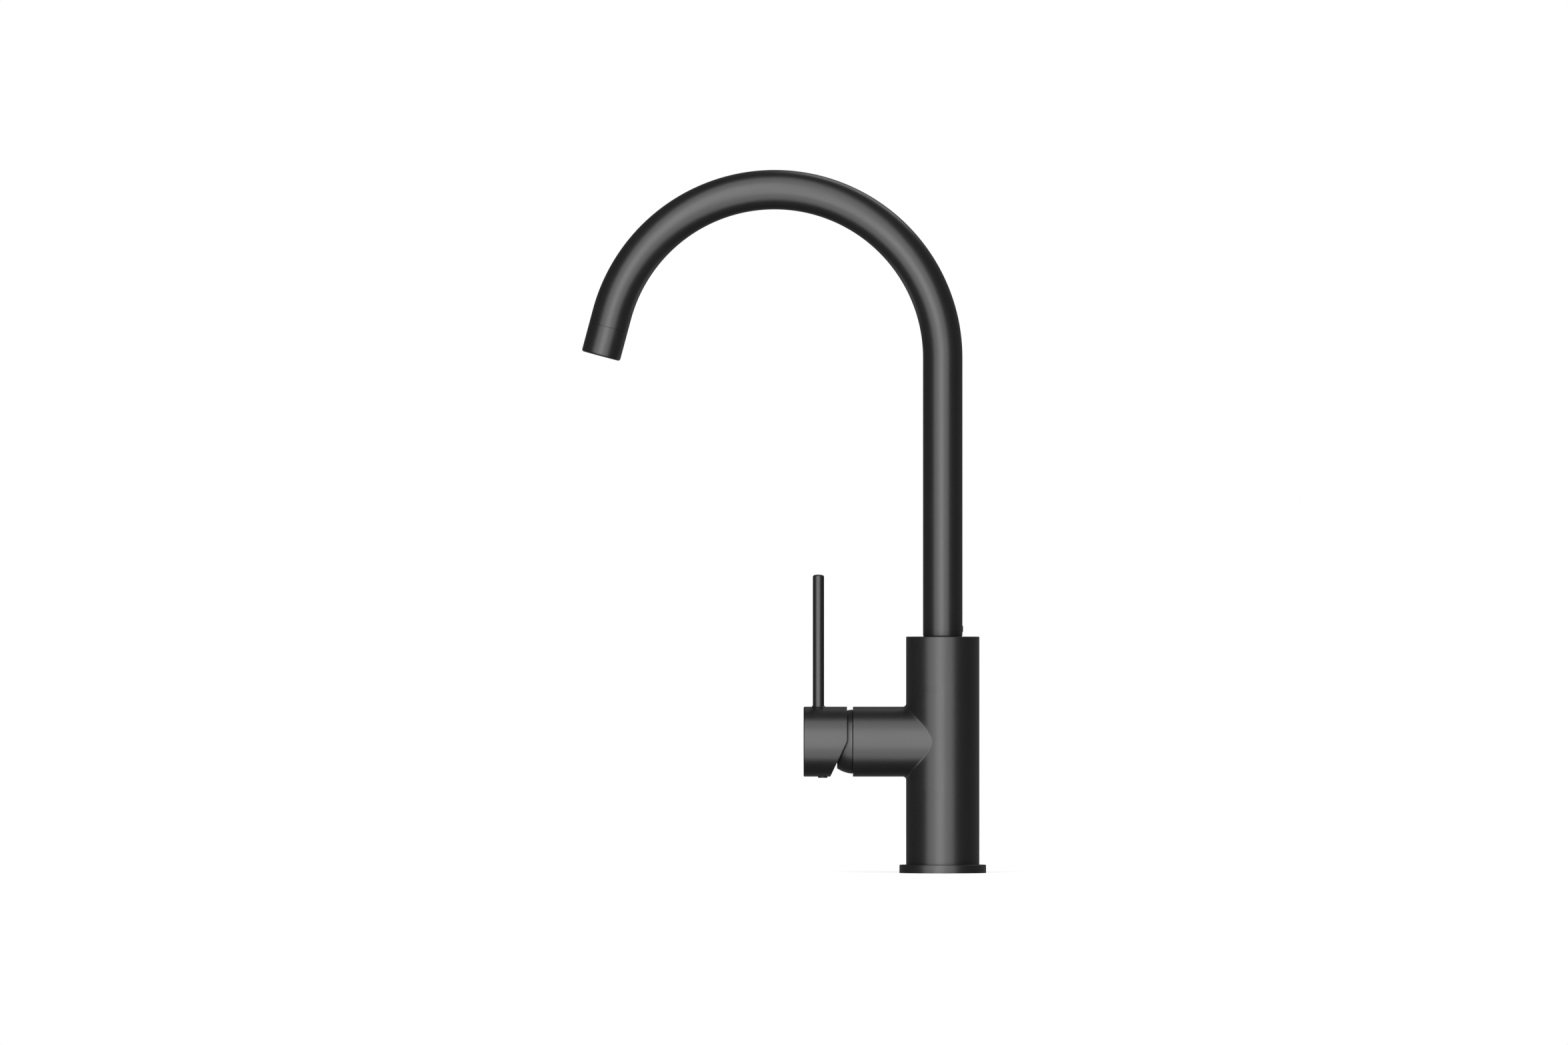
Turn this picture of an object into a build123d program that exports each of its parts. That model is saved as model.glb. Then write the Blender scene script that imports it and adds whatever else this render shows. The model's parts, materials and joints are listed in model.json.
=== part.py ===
from build123d import *
import os
from math import cos, hypot, radians, sin, sqrt, tan

os.makedirs("parts", exist_ok=True)

# Sizes are in millimetres and degrees. The origin is on the column's axis at deck level, +Z is up,
# and the spout and the handle point towards -X. "Out" is the distance from the column's axis along
# the branch, and "along" is the distance from the collar's seam along the outlet.

# Driving sizes: column, branch and base ring
cartridge_d = 35.0
branch_wall = 4.55
column_step = 1.05
branch_z = 82.8
branch_end = 56.6
body_top = 149.0
junction_fillet = 2.0
edge_round = 0.5
ring_overhang = 4.25
ring_height = 5.3
ring_lip = 1.5
deck_seal_width = 2.0
deck_seal_height = 2.0
bay_wall = 4.6
bay_roof_drop = 34.8

# Driving sizes: waterways, hose ports and fixing studs
hose_port_r = 4.5
hose_port_depth = 10.0
stud_hole_r = 2.5
stud_hole_depth = 15.0
port_land = 1.27
supply_bore_r = 3.25
outlet_bore_r = 4.0
drill_overrun = 1.0
mixed_chamber_length = 28.0

# Driving sizes: spout
tube_d = 25.0
tube_wall = 1.5
riser_length = 175.0
arch_radius = 106.0
outlet_tilt = 15.0
tube_tail = 8.45
sleeve_wall = 1.35
sleeve_length = 28.4

# Driving sizes: swivel between the body and the spout
nipple_foot_length = 14.0
nipple_foot_step = 1.5
nipple_neck_length = 29.0
nipple_wall = 3.5
nipple_key_step = 0.5
nipple_key_depth = 4.5
nipple_seal_thickness = 2.0
nipple_seal_width = 1.5
slip_washer_thickness = 0.6
slip_washer_recess = 0.3
slip_washer_width = 1.0
lock_screw_height = 4.2
lock_screw_r = 2.0
lock_screw_proud = 0.3
lock_groove_depth = 1.9
lock_tip_gap = 0.4
lock_groove_side_gap = 0.2
o_ring_section = 1.74
o_ring_groove_width = 2.4
o_ring_heights = (14.2, 18.2)
glide_ring_height = 2.4
glide_ring_depth = 1.0
glide_ring_heights = (9.75, 22.25)

# Driving sizes: outlet and aerator
collar_length = 18.8
collar_seam = 0.15
collar_end_wall = 1.5
collar_end_lip = 1.7
collar_wall = 2.2
collar_end_round = 1.0
outlet_nipple_inset = 0.45
outlet_nipple_reach = 7.0
outlet_nipple_wall = 2.2
aerator_washer_thickness = 1.8
aerator_cage_wall = 1.25
aerator_plate = 1.5
diffuser_hole_r = 0.5
diffuser_holes = 18
screen_thickness = 2.4
screen_rim = 0.6
cell_pitch = 1.9
cell_wall = 0.35

# Driving sizes: cartridge, measured back from the point that the handle tilts about
pivot_setback = 1.3
rotor_nose = 2.3
rotor_inset = 5.5
rotor_flange_thickness = 3.1
rotor_flange_gap = 0.6
rotor_groove_depth = 2.3
housing_wall = 1.4
housing_roof = 2.5
housing_neck_wall = 1.5
housing_neck_nose = 1.7
carrier_thickness = 2.9
carrier_gap = 0.2
tongue_half_width = 6.5
tongue_half_length = 9.0
ball_floor_gap = 0.3
valve_disc_thickness = 3.5
moving_disc_edge = 1.0
mixing_pocket_depth = 2.0
mixing_pocket_half_width = 8.5
mixing_pocket_half_height = 6.5
mixing_pocket_z = -4.7
fixed_disc_edge = 0.6
cartridge_floor = 4.6
disc_recess = 1.0
inlet_circle_r = 7.5
inlet_angle = 36.87
inlet_r = 2.5
inlet_sweep = 24.0
disc_outlet_z = -6.0
disc_outlet_r = 3.2
seal_inner_r = 4.1
seal_outer_r = 5.3
seal_thickness = 1.0
peg_r = 1.5
base_peg_length = 2.5
base_peg_inset = 4.4
base_peg_angle = -18.0
carrier_peg_length = 1.3
carrier_peg_inset = 2.6
carrier_peg_angle = 17.5
retaining_nut_height = 4.5
nut_thread_step = 1.5
nut_slot_width = 4.0
nut_slot_depth = 2.0
nut_slots = 4

# Driving sizes: handle
tilt_range = 25.0
stem_width = 9.0
stem_height = 8.0
stem_back = 5.5
stem_edge = 0.6
stem_arm = 12.0
stem_ball_r = 2.3
stem_neck_r = 1.5
pivot_pin_r = 1.5
pivot_pin_inset = 1.0
dome_inset = 1.75
dome_front = 11.3
dome_lip = 1.5
dome_lip_width = 2.5
dome_spigot_wall = 2.9
dome_seam = 0.3
hub_rim = 5.0
hub_end = 32.4
hub_end_wall = 3.6
hub_cut_height = 0.5
hub_end_round = 0.8
lever_d = 7.16
lever_out = 23.0
lever_length = 83.25
lever_end_crown = 1.1
lever_boss_height = 1.3
lever_boss_fillet = 1.2
lever_tenon_r = 2.5
lever_tenon_foot = 10.0
grub_wall = 0.58
grub_screw_r = 2.0
grub_screw_length = 8.0
plug_r = 3.0
plug_proud = 0.8
plug_seat_depth = 1.2
plug_shank_r = 1.9
plug_shank_length = 3.0
key_flats = 2.0
key_depth = 2.0

# Clearances
running_gap = 0.1
pin_gap = 0.05
press_gap = 0.01
seal_gap = 0.04
seat_gap = 0.05
disc_film = 0.05
dome_gap = 0.25
tilt_gap = 0.3

# Column, branch and base ring
cartridge_r = cartridge_d / 2
branch_r = cartridge_r + branch_wall
body_r = branch_r + column_step
ring_r = body_r + ring_overhang
bay_r = body_r - bay_wall
bay_roof = branch_z - bay_roof_drop
port_circle_r = bay_r - port_land - hose_port_r
port_offset = port_circle_r / sqrt(2)

# Swivel
tube_r = tube_d / 2
tube_bore_r = tube_r - tube_wall
sleeve_outer_r = tube_bore_r - seat_gap
sleeve_inner_r = sleeve_outer_r - sleeve_wall
nipple_r = sleeve_inner_r - running_gap
nipple_bore_r = nipple_r - nipple_wall
nipple_key_r = nipple_bore_r + nipple_key_step
nipple_foot_r = nipple_r + nipple_foot_step
mixed_chamber_r = nipple_foot_r - nipple_seal_width
tube_bottom = body_top + slip_washer_thickness + seat_gap
arch_start = tube_bottom + riser_length
nipple_foot = body_top - nipple_foot_length
nipple_top = body_top + nipple_neck_length
lock_screw_z = tube_bottom + lock_screw_height
lock_groove_r = nipple_r - lock_groove_depth
lock_groove_half = lock_screw_r + lock_groove_side_gap
o_ring_groove_r = sleeve_inner_r - o_ring_section - 1.5 * seal_gap
glide_groove_r = nipple_r - glide_ring_depth

# Spout route in the XZ plane, and the frame of the outlet at its end
arch_sweep = 180.0 - outlet_tilt
arch_end_x = -arch_radius + arch_radius * cos(radians(arch_sweep))
arch_end_z = arch_start + arch_radius * sin(radians(arch_sweep))
outlet_x = -sin(radians(outlet_tilt))
outlet_z = -cos(radians(outlet_tilt))
seam_x = arch_end_x + tube_tail * outlet_x
seam_z = arch_end_z + tube_tail * outlet_z
outlet = Plane(origin=(seam_x, 0, seam_z), x_dir=(-outlet_z, 0, outlet_x), z_dir=(outlet_x, 0, outlet_z))

# Outlet, from the seam to the end of the collar
collar_bore_r = tube_r - collar_wall
collar_opening_r = collar_bore_r - collar_end_lip
collar_floor = collar_length - collar_end_wall
outlet_nipple_hold = tube_tail - outlet_nipple_inset
outlet_thread_r = collar_bore_r - running_gap
outlet_nipple_bore_r = outlet_thread_r - outlet_nipple_wall
washer_start = outlet_nipple_reach + running_gap
cage_start = washer_start + aerator_washer_thickness + running_gap
cage_end = collar_floor - running_gap
cage_r = collar_bore_r - running_gap
cage_bore_r = cage_r - aerator_cage_wall
screen_r = cage_bore_r - seat_gap

# Branch: planes across it and along it, and distances out from the column's axis
branch = Plane(origin=(0, 0, branch_z), x_dir=(0, -1, 0), z_dir=(-1, 0, 0))
branch_side = Plane(origin=(0, 0, branch_z), x_dir=(-1, 0, 0), z_dir=(0, 1, 0))
branch_axis = Axis((0, 0, branch_z), (-1, 0, 0))
pivot_out = branch_end - pivot_setback
ball_out = pivot_out - stem_arm
carrier_back_out = ball_out - stem_ball_r - ball_floor_gap
carrier_top_out = carrier_back_out + carrier_thickness
rotor_back_out = carrier_top_out + carrier_gap
housing_ceiling_out = rotor_back_out + rotor_flange_thickness + running_gap
housing_shoulder_out = housing_ceiling_out + housing_roof
moving_disc_out = carrier_back_out - valve_disc_thickness
fixed_disc_out = moving_disc_out - disc_film - valve_disc_thickness
recess_out = fixed_disc_out - disc_film
cartridge_rim_out = recess_out + disc_recess
seat_out = recess_out - cartridge_floor
nut_top_out = housing_shoulder_out + retaining_nut_height
spigot_out = nut_top_out + seat_gap

# Cartridge radii
chamber_r = cartridge_r + running_gap
thread_r = cartridge_r + nut_thread_step
rotor_r = cartridge_r - rotor_inset
housing_bore_r = cartridge_r - housing_wall
housing_neck_bore_r = rotor_r + running_gap
housing_neck_r = housing_neck_bore_r + housing_neck_wall
rotor_flange_r = housing_bore_r - rotor_flange_gap
fixed_disc_r = housing_bore_r - fixed_disc_edge
disc_shift = stem_arm * sin(radians(tilt_range))
moving_disc_start = -disc_shift / 2
moving_disc_r = housing_bore_r - disc_shift / 2 - moving_disc_edge
slot_high = disc_shift + stem_ball_r + tilt_gap
slot_low = stem_height / 2 / cos(radians(tilt_range)) + rotor_nose * tan(radians(tilt_range)) + tilt_gap

# Port places across the branch, as (sideways, up) from its axis
inlet_y = inlet_circle_r * cos(radians(inlet_angle))
inlet_z = inlet_circle_r * sin(radians(inlet_angle))
inlet_spots = [(inlet_y, inlet_z), (-inlet_y, inlet_z)]
outlet_spot = (0, disc_outlet_z)
port_spots = inlet_spots + [outlet_spot]
riser_foot = branch_z + disc_outlet_z - disc_outlet_r - drill_overrun
base_peg_y = (cartridge_r - base_peg_inset) * cos(radians(base_peg_angle))
base_peg_z = (cartridge_r - base_peg_inset) * sin(radians(base_peg_angle))
base_peg_spots = [(base_peg_y, base_peg_z), (-base_peg_y, base_peg_z)]
carrier_peg_y = (moving_disc_r - carrier_peg_inset) * cos(radians(carrier_peg_angle))
carrier_peg_z = moving_disc_start + (moving_disc_r - carrier_peg_inset) * sin(radians(carrier_peg_angle))
carrier_peg_spots = [(carrier_peg_y, carrier_peg_z), (-carrier_peg_y, carrier_peg_z)]

# Handle
dome_r = branch_r - dome_inset
dome_front_r = sqrt(dome_r**2 - dome_front**2)
dome_spigot_r = thread_r - running_gap
dome_bore_r = dome_spigot_r - dome_spigot_wall
dome_opening_r = dome_bore_r - dome_lip_width
hub_r = branch_r
hub_rim_out = pivot_out + hub_rim
hub_end_out = pivot_out + hub_end
dome_sweep = dome_front * cos(radians(tilt_range)) + dome_front_r * sin(radians(tilt_range))
cavity_end_out = pivot_out + dome_sweep + tilt_gap
cavity_r = dome_r + dome_gap
lever_at = pivot_out + lever_out
lever_foot_z = branch_z + hub_r + lever_boss_height
lever_top_z = branch_z + hub_r + lever_length
grub_at = cavity_end_out + grub_wall + grub_screw_r + pin_gap
stem_front_out = hub_end_out - hub_end_wall - running_gap
stem_back_out = pivot_out - stem_back
grub_top_z = branch_z - stem_height / 2 - seat_gap


with BuildPart() as body:
    # Column and branch, blended where they meet
    with BuildSketch(Plane.XY.offset(ring_lip)):
        Circle(body_r)
    extrude(amount=body_top - ring_lip)
    with BuildSketch(branch):
        Circle(branch_r)
    extrude(amount=branch_end)
    fillet(body.edges().filter_by(GeomType.BSPLINE), junction_fillet)
    fillet(body.faces().sort_by(Axis.Z)[-1].edges(), edge_round)
    # Hose bay, open at the deck
    with BuildSketch(Plane.XY.offset(ring_lip)):
        Circle(bay_r)
    extrude(amount=bay_roof - ring_lip, mode=Mode.SUBTRACT)
    # Hose ports and fixing stud holes in the roof of the bay
    with BuildSketch(Plane.XY.offset(bay_roof)):
        with Locations((-port_offset, port_offset), (-port_offset, -port_offset)):
            Circle(hose_port_r)
    extrude(amount=hose_port_depth, mode=Mode.SUBTRACT)
    with BuildSketch(Plane.XY.offset(bay_roof)):
        with Locations((port_offset, port_offset), (port_offset, -port_offset)):
            Circle(stud_hole_r)
    extrude(amount=stud_hole_depth, mode=Mode.SUBTRACT)
    # Supply bores: up from the ports, then along the branch to the cartridge seat
    with BuildSketch(Plane.XY.offset(bay_roof)):
        with Locations((-port_offset, port_offset), (-port_offset, -port_offset)):
            Circle(supply_bore_r)
    extrude(amount=branch_z + inlet_z + inlet_r + drill_overrun - bay_roof, mode=Mode.SUBTRACT)
    with BuildSketch(branch.offset(port_offset)):
        with Locations(*inlet_spots):
            Circle(inlet_r)
    extrude(amount=seat_out - port_offset, mode=Mode.SUBTRACT)
    # Mixed water: back from the seat, then up the column's axis
    with BuildSketch(branch):
        with Locations(outlet_spot):
            Circle(disc_outlet_r)
    extrude(amount=seat_out, mode=Mode.SUBTRACT)
    with BuildSketch(Plane.XY.offset(riser_foot)):
        Circle(outlet_bore_r)
    extrude(amount=nipple_foot - riser_foot, mode=Mode.SUBTRACT)
    with BuildSketch(Plane.XY.offset(nipple_foot - nipple_seal_thickness - mixed_chamber_length)):
        Circle(mixed_chamber_r)
    extrude(amount=mixed_chamber_length + nipple_seal_thickness, mode=Mode.SUBTRACT)
    with BuildSketch(Plane.XY.offset(nipple_foot - nipple_seal_thickness)):
        Circle(nipple_foot_r + running_gap)
    extrude(amount=nipple_foot_length + nipple_seal_thickness, mode=Mode.SUBTRACT)
    # Cartridge chamber with its peg holes, and the wider thread for the nut and the dome
    with BuildSketch(branch.offset(seat_out)):
        Circle(chamber_r)
    extrude(amount=branch_end - seat_out, mode=Mode.SUBTRACT)
    with BuildSketch(branch.offset(seat_out)):
        with Locations(*base_peg_spots):
            Circle(peg_r + running_gap)
    extrude(amount=-base_peg_length - running_gap, mode=Mode.SUBTRACT)
    with BuildSketch(branch.offset(housing_shoulder_out - nut_thread_step)):
        Circle(thread_r)
    extrude(amount=branch_end - housing_shoulder_out + nut_thread_step, mode=Mode.SUBTRACT)
body.part.label = "body"
export_step(body.part, "parts/body.step")


with BuildPart() as base_ring:
    with BuildSketch():
        Circle(ring_r)
    extrude(amount=ring_height)
    fillet(base_ring.edges().group_by(Axis.Z)[-1], edge_round)
    with BuildSketch():
        Circle(bay_r)
    extrude(amount=ring_height, mode=Mode.SUBTRACT)
    with BuildSketch(Plane.XY.offset(ring_lip)):
        Circle(body_r + running_gap)
    extrude(amount=ring_height - ring_lip, mode=Mode.SUBTRACT)
    seal_middle_r = body_r + (ring_overhang + running_gap) / 2
    with BuildSketch():
        Circle(seal_middle_r + deck_seal_width / 2 + seat_gap)
        Circle(seal_middle_r - deck_seal_width / 2 - seat_gap, mode=Mode.SUBTRACT)
    extrude(amount=deck_seal_height, mode=Mode.SUBTRACT)
base_ring.part.label = "base_ring"
export_step(base_ring.part, "parts/base_ring.step")


with BuildPart() as deck_seal:
    with BuildSketch():
        Circle(seal_middle_r + deck_seal_width / 2)
        Circle(seal_middle_r - deck_seal_width / 2, mode=Mode.SUBTRACT)
    extrude(amount=deck_seal_height)
deck_seal.part.label = "deck_seal"
export_step(deck_seal.part, "parts/deck_seal.step")


with BuildPart() as nipple_seal:
    with BuildSketch(Plane.XY.offset(nipple_foot - nipple_seal_thickness)):
        Circle(nipple_foot_r)
        Circle(mixed_chamber_r, mode=Mode.SUBTRACT)
    extrude(amount=nipple_seal_thickness)
nipple_seal.part.label = "nipple_seal"
export_step(nipple_seal.part, "parts/nipple_seal.step")


with BuildPart() as swivel_nipple:
    with BuildSketch(Plane.XY.offset(nipple_foot)):
        Circle(nipple_foot_r)
    extrude(amount=nipple_foot_length)
    with BuildSketch(Plane.XY.offset(nipple_foot)):
        Circle(nipple_r)
    extrude(amount=nipple_top - nipple_foot)
    # Grooves for the lock screw, the O-rings and the glide rings
    grooves = [(lock_screw_z - lock_groove_half, 2 * lock_groove_half, lock_groove_r)]
    for height in o_ring_heights:
        grooves.append((body_top + height - o_ring_groove_width / 2, o_ring_groove_width, o_ring_groove_r))
    for height in glide_ring_heights:
        groove_width = glide_ring_height + running_gap
        grooves.append((body_top + height - groove_width / 2, groove_width, glide_groove_r))
    for groove_z, groove_width, groove_r in grooves:
        with BuildSketch(Plane.XY.offset(groove_z)):
            Circle(nipple_foot_r)
            Circle(groove_r, mode=Mode.SUBTRACT)
        extrude(amount=groove_width, mode=Mode.SUBTRACT)
    # Waterway, with a hexagon at its top for the assembly key
    with BuildSketch(Plane.XY.offset(nipple_foot)):
        Circle(nipple_bore_r)
    extrude(amount=nipple_top - nipple_foot, mode=Mode.SUBTRACT)
    with BuildSketch(Plane.XY.offset(nipple_top - nipple_key_depth)):
        RegularPolygon(nipple_key_r, 6, major_radius=False)
    extrude(amount=nipple_key_depth, mode=Mode.SUBTRACT)
swivel_nipple.part.label = "swivel_nipple"
export_step(swivel_nipple.part, "parts/swivel_nipple.step")


with BuildPart() as swivel_o_rings:
    with Locations(*[(0, 0, body_top + height) for height in o_ring_heights]):
        Torus(o_ring_groove_r + (o_ring_section + seal_gap) / 2, o_ring_section / 2)
swivel_o_rings.part.label = "swivel_o_rings"
export_step(swivel_o_rings.part, "parts/swivel_o_rings.step")


with BuildPart() as glide_rings:
    for height in glide_ring_heights:
        with BuildSketch(Plane.XY.offset(body_top + height - glide_ring_height / 2)):
            Circle(sleeve_inner_r - seal_gap)
            Circle(glide_groove_r + seal_gap, mode=Mode.SUBTRACT)
        extrude(amount=glide_ring_height)
glide_rings.part.label = "glide_rings"
export_step(glide_rings.part, "parts/glide_rings.step")


with BuildPart() as slip_washer:
    with BuildSketch(Plane.XY.offset(body_top)):
        Circle(tube_r - slip_washer_recess)
        Circle(tube_r - slip_washer_recess - slip_washer_width, mode=Mode.SUBTRACT)
    extrude(amount=slip_washer_thickness)
slip_washer.part.label = "slip_washer"
export_step(slip_washer.part, "parts/slip_washer.step")


with BuildPart() as spout_tube:
    with BuildLine(Plane.XZ) as route:
        Line((0, tube_bottom), (0, arch_start))
        CenterArc((-arch_radius, arch_start), arch_radius, 0, arch_sweep)
        Line((arch_end_x, arch_end_z), (seam_x, seam_z))
    with BuildSketch(Plane.XY.offset(tube_bottom)):
        Circle(tube_r)
    sweep(path=route.wire())
    with BuildSketch(Plane.XY.offset(tube_bottom)):
        Circle(tube_bore_r)
    sweep(path=route.wire(), mode=Mode.SUBTRACT)
    # Threaded hole at the back for the lock screw
    with BuildSketch(Plane.YZ):
        with Locations((0, lock_screw_z)):
            Circle(lock_screw_r + pin_gap)
    extrude(amount=tube_d, mode=Mode.SUBTRACT)
spout_tube.part.label = "spout_tube"
export_step(spout_tube.part, "parts/spout_tube.step")


with BuildPart() as spout_sleeve:
    with BuildSketch(Plane.XY.offset(tube_bottom)):
        Circle(sleeve_outer_r)
        Circle(sleeve_inner_r, mode=Mode.SUBTRACT)
    extrude(amount=sleeve_length)
    with BuildSketch(Plane.YZ):
        with Locations((0, lock_screw_z)):
            Circle(lock_screw_r + pin_gap)
    extrude(amount=tube_d, mode=Mode.SUBTRACT)
spout_sleeve.part.label = "spout_sleeve"
export_step(spout_sleeve.part, "parts/spout_sleeve.step")


with BuildPart() as spout_lock_screw:
    with BuildSketch(Plane.YZ.offset(lock_groove_r + lock_tip_gap)):
        with Locations((0, lock_screw_z)):
            Circle(lock_screw_r)
    extrude(amount=tube_r + lock_screw_proud - lock_groove_r - lock_tip_gap)
    with BuildSketch(Plane.YZ.offset(tube_r + lock_screw_proud)):
        with Locations((0, lock_screw_z)):
            RegularPolygon(key_flats / 2, 6, major_radius=False)
    extrude(amount=-key_depth, mode=Mode.SUBTRACT)
spout_lock_screw.part.label = "spout_lock_screw"
export_step(spout_lock_screw.part, "parts/spout_lock_screw.step")


with BuildPart() as outlet_nipple:
    with BuildSketch(outlet.offset(-outlet_nipple_hold)):
        Circle(tube_bore_r - seat_gap)
    extrude(amount=outlet_nipple_hold)
    with BuildSketch(outlet):
        Circle(outlet_thread_r)
    extrude(amount=outlet_nipple_reach)
    with BuildSketch(outlet.offset(-outlet_nipple_hold)):
        Circle(outlet_nipple_bore_r)
    extrude(amount=outlet_nipple_hold + outlet_nipple_reach, mode=Mode.SUBTRACT)
outlet_nipple.part.label = "outlet_nipple"
export_step(outlet_nipple.part, "parts/outlet_nipple.step")


with BuildPart() as aerator_collar:
    with BuildSketch(outlet.offset(collar_seam)):
        Circle(tube_r)
    extrude(amount=collar_length - collar_seam)
    fillet(aerator_collar.edges().filter_by(GeomType.CIRCLE).sort_by(Axis.Z)[0], collar_end_round)
    with BuildSketch(outlet.offset(collar_seam)):
        Circle(collar_bore_r)
    extrude(amount=collar_floor - collar_seam, mode=Mode.SUBTRACT)
    with BuildSketch(outlet.offset(collar_floor)):
        Circle(collar_opening_r)
    extrude(amount=collar_end_wall, mode=Mode.SUBTRACT)
aerator_collar.part.label = "aerator_collar"
export_step(aerator_collar.part, "parts/aerator_collar.step")


with BuildPart() as aerator_washer:
    with BuildSketch(outlet.offset(washer_start)):
        Circle(cage_r)
        Circle(outlet_nipple_bore_r, mode=Mode.SUBTRACT)
    extrude(amount=aerator_washer_thickness)
aerator_washer.part.label = "aerator_washer"
export_step(aerator_washer.part, "parts/aerator_washer.step")


with BuildPart() as aerator_cage:
    with BuildSketch(outlet.offset(cage_start)):
        Circle(cage_r)
    extrude(amount=cage_end - cage_start)
    with BuildSketch(outlet.offset(cage_start + aerator_plate)):
        Circle(cage_bore_r)
    extrude(amount=cage_end - cage_start - aerator_plate, mode=Mode.SUBTRACT)
    with BuildSketch(outlet.offset(cage_start)):
        with PolarLocations(outlet_nipple_bore_r - 3 * diffuser_hole_r, diffuser_holes):
            Circle(diffuser_hole_r)
    extrude(amount=aerator_plate, mode=Mode.SUBTRACT)
aerator_cage.part.label = "aerator_cage"
export_step(aerator_cage.part, "parts/aerator_cage.step")


# Honeycomb cells that lie wholly inside the screen's rim
cell_rows = int(screen_r / cell_pitch) + 1
cell_grid = [
    (cell_pitch * (column + row / 2), cell_pitch * row * sqrt(3) / 2)
    for row in range(-cell_rows, cell_rows + 1)
    for column in range(-2 * cell_rows, 2 * cell_rows + 1)
]
cell_spots = [spot for spot in cell_grid if hypot(*spot) < screen_r - screen_rim - cell_pitch / sqrt(3)]

with BuildPart() as aerator_screen:
    with BuildSketch(outlet.offset(cage_end - screen_thickness)):
        Circle(screen_r)
        with Locations(*cell_spots):
            cell_inner_r = (cell_pitch - cell_wall) / 2
            RegularPolygon(cell_inner_r, 6, major_radius=False, rotation=30, mode=Mode.SUBTRACT)
    extrude(amount=screen_thickness)
aerator_screen.part.label = "aerator_screen"
export_step(aerator_screen.part, "parts/aerator_screen.step")


with BuildPart() as cartridge_base:
    with BuildSketch(branch.offset(seat_out)):
        Circle(cartridge_r)
    extrude(amount=cartridge_rim_out - seat_out)
    with BuildSketch(branch.offset(recess_out)):
        Circle(fixed_disc_r + seat_gap)
    extrude(amount=disc_recess, mode=Mode.SUBTRACT)
    with BuildSketch(branch.offset(seat_out)):
        with Locations(*inlet_spots):
            Circle(inlet_r)
        with Locations(outlet_spot):
            Circle(disc_outlet_r)
    extrude(amount=cartridge_floor, mode=Mode.SUBTRACT)
    # Ring grooves round the ports on both faces
    for groove_out in (seat_out, recess_out - seal_thickness):
        with BuildSketch(branch.offset(groove_out)):
            with Locations(*port_spots):
                Circle(seal_outer_r + seat_gap)
            with Locations(*port_spots):
                Circle(seal_inner_r - seat_gap, mode=Mode.SUBTRACT)
        extrude(amount=seal_thickness, mode=Mode.SUBTRACT)
    # Pegs that key the cartridge to its seat
    with BuildSketch(branch.offset(seat_out)):
        with Locations(*base_peg_spots):
            Circle(peg_r)
    extrude(amount=-base_peg_length)
cartridge_base.part.label = "cartridge_base"
export_step(cartridge_base.part, "parts/cartridge_base.step")


with BuildPart() as base_port_seals:
    with BuildSketch(branch.offset(seat_out)):
        with Locations(*port_spots):
            Circle(seal_outer_r)
        with Locations(*port_spots):
            Circle(seal_inner_r, mode=Mode.SUBTRACT)
    extrude(amount=seal_thickness)
base_port_seals.part.label = "base_port_seals"
export_step(base_port_seals.part, "parts/base_port_seals.step")


with BuildPart() as disc_port_seals:
    with BuildSketch(branch.offset(recess_out - seal_thickness)):
        with Locations(*port_spots):
            Circle(seal_outer_r)
        with Locations(*port_spots):
            Circle(seal_inner_r, mode=Mode.SUBTRACT)
    extrude(amount=seal_thickness)
disc_port_seals.part.label = "disc_port_seals"
export_step(disc_port_seals.part, "parts/disc_port_seals.step")


with BuildPart() as fixed_disc:
    with BuildSketch(branch.offset(fixed_disc_out)):
        Circle(fixed_disc_r)
        for start_angle in (inlet_angle, 180.0 - inlet_angle):
            kidney = CenterArc(
                (0, 0), inlet_circle_r, start_angle - inlet_sweep / 2, inlet_sweep, mode=Mode.PRIVATE
            )
            SlotArc(kidney, 2 * inlet_r, mode=Mode.SUBTRACT)
        with Locations(outlet_spot):
            Circle(disc_outlet_r, mode=Mode.SUBTRACT)
    extrude(amount=valve_disc_thickness)
fixed_disc.part.label = "fixed_disc"
export_step(fixed_disc.part, "parts/fixed_disc.step")


with BuildPart() as cartridge_housing:
    with BuildSketch(branch.offset(cartridge_rim_out)):
        Circle(cartridge_r)
    extrude(amount=housing_shoulder_out - cartridge_rim_out)
    with BuildSketch(branch.offset(housing_shoulder_out)):
        Circle(housing_neck_r)
    extrude(amount=pivot_out + housing_neck_nose - housing_shoulder_out)
    with BuildSketch(branch.offset(cartridge_rim_out)):
        Circle(housing_bore_r)
    extrude(amount=housing_ceiling_out - cartridge_rim_out, mode=Mode.SUBTRACT)
    with BuildSketch(branch.offset(housing_ceiling_out)):
        Circle(housing_neck_bore_r)
    extrude(amount=pivot_out + housing_neck_nose - housing_ceiling_out, mode=Mode.SUBTRACT)
cartridge_housing.part.label = "cartridge_housing"
export_step(cartridge_housing.part, "parts/cartridge_housing.step")


with BuildPart() as retaining_nut:
    with BuildSketch(branch.offset(housing_shoulder_out)):
        Circle(thread_r - running_gap)
        Circle(housing_neck_r + 2 * running_gap, mode=Mode.SUBTRACT)
    extrude(amount=retaining_nut_height)
    # Spanner slots across the outer face
    with BuildSketch(branch.offset(nut_top_out)):
        with PolarLocations((housing_neck_r + thread_r) / 2, nut_slots):
            Rectangle(2 * (thread_r - housing_neck_r), nut_slot_width)
    extrude(amount=-nut_slot_depth, mode=Mode.SUBTRACT)
retaining_nut.part.label = "retaining_nut"
export_step(retaining_nut.part, "parts/retaining_nut.step")


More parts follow.
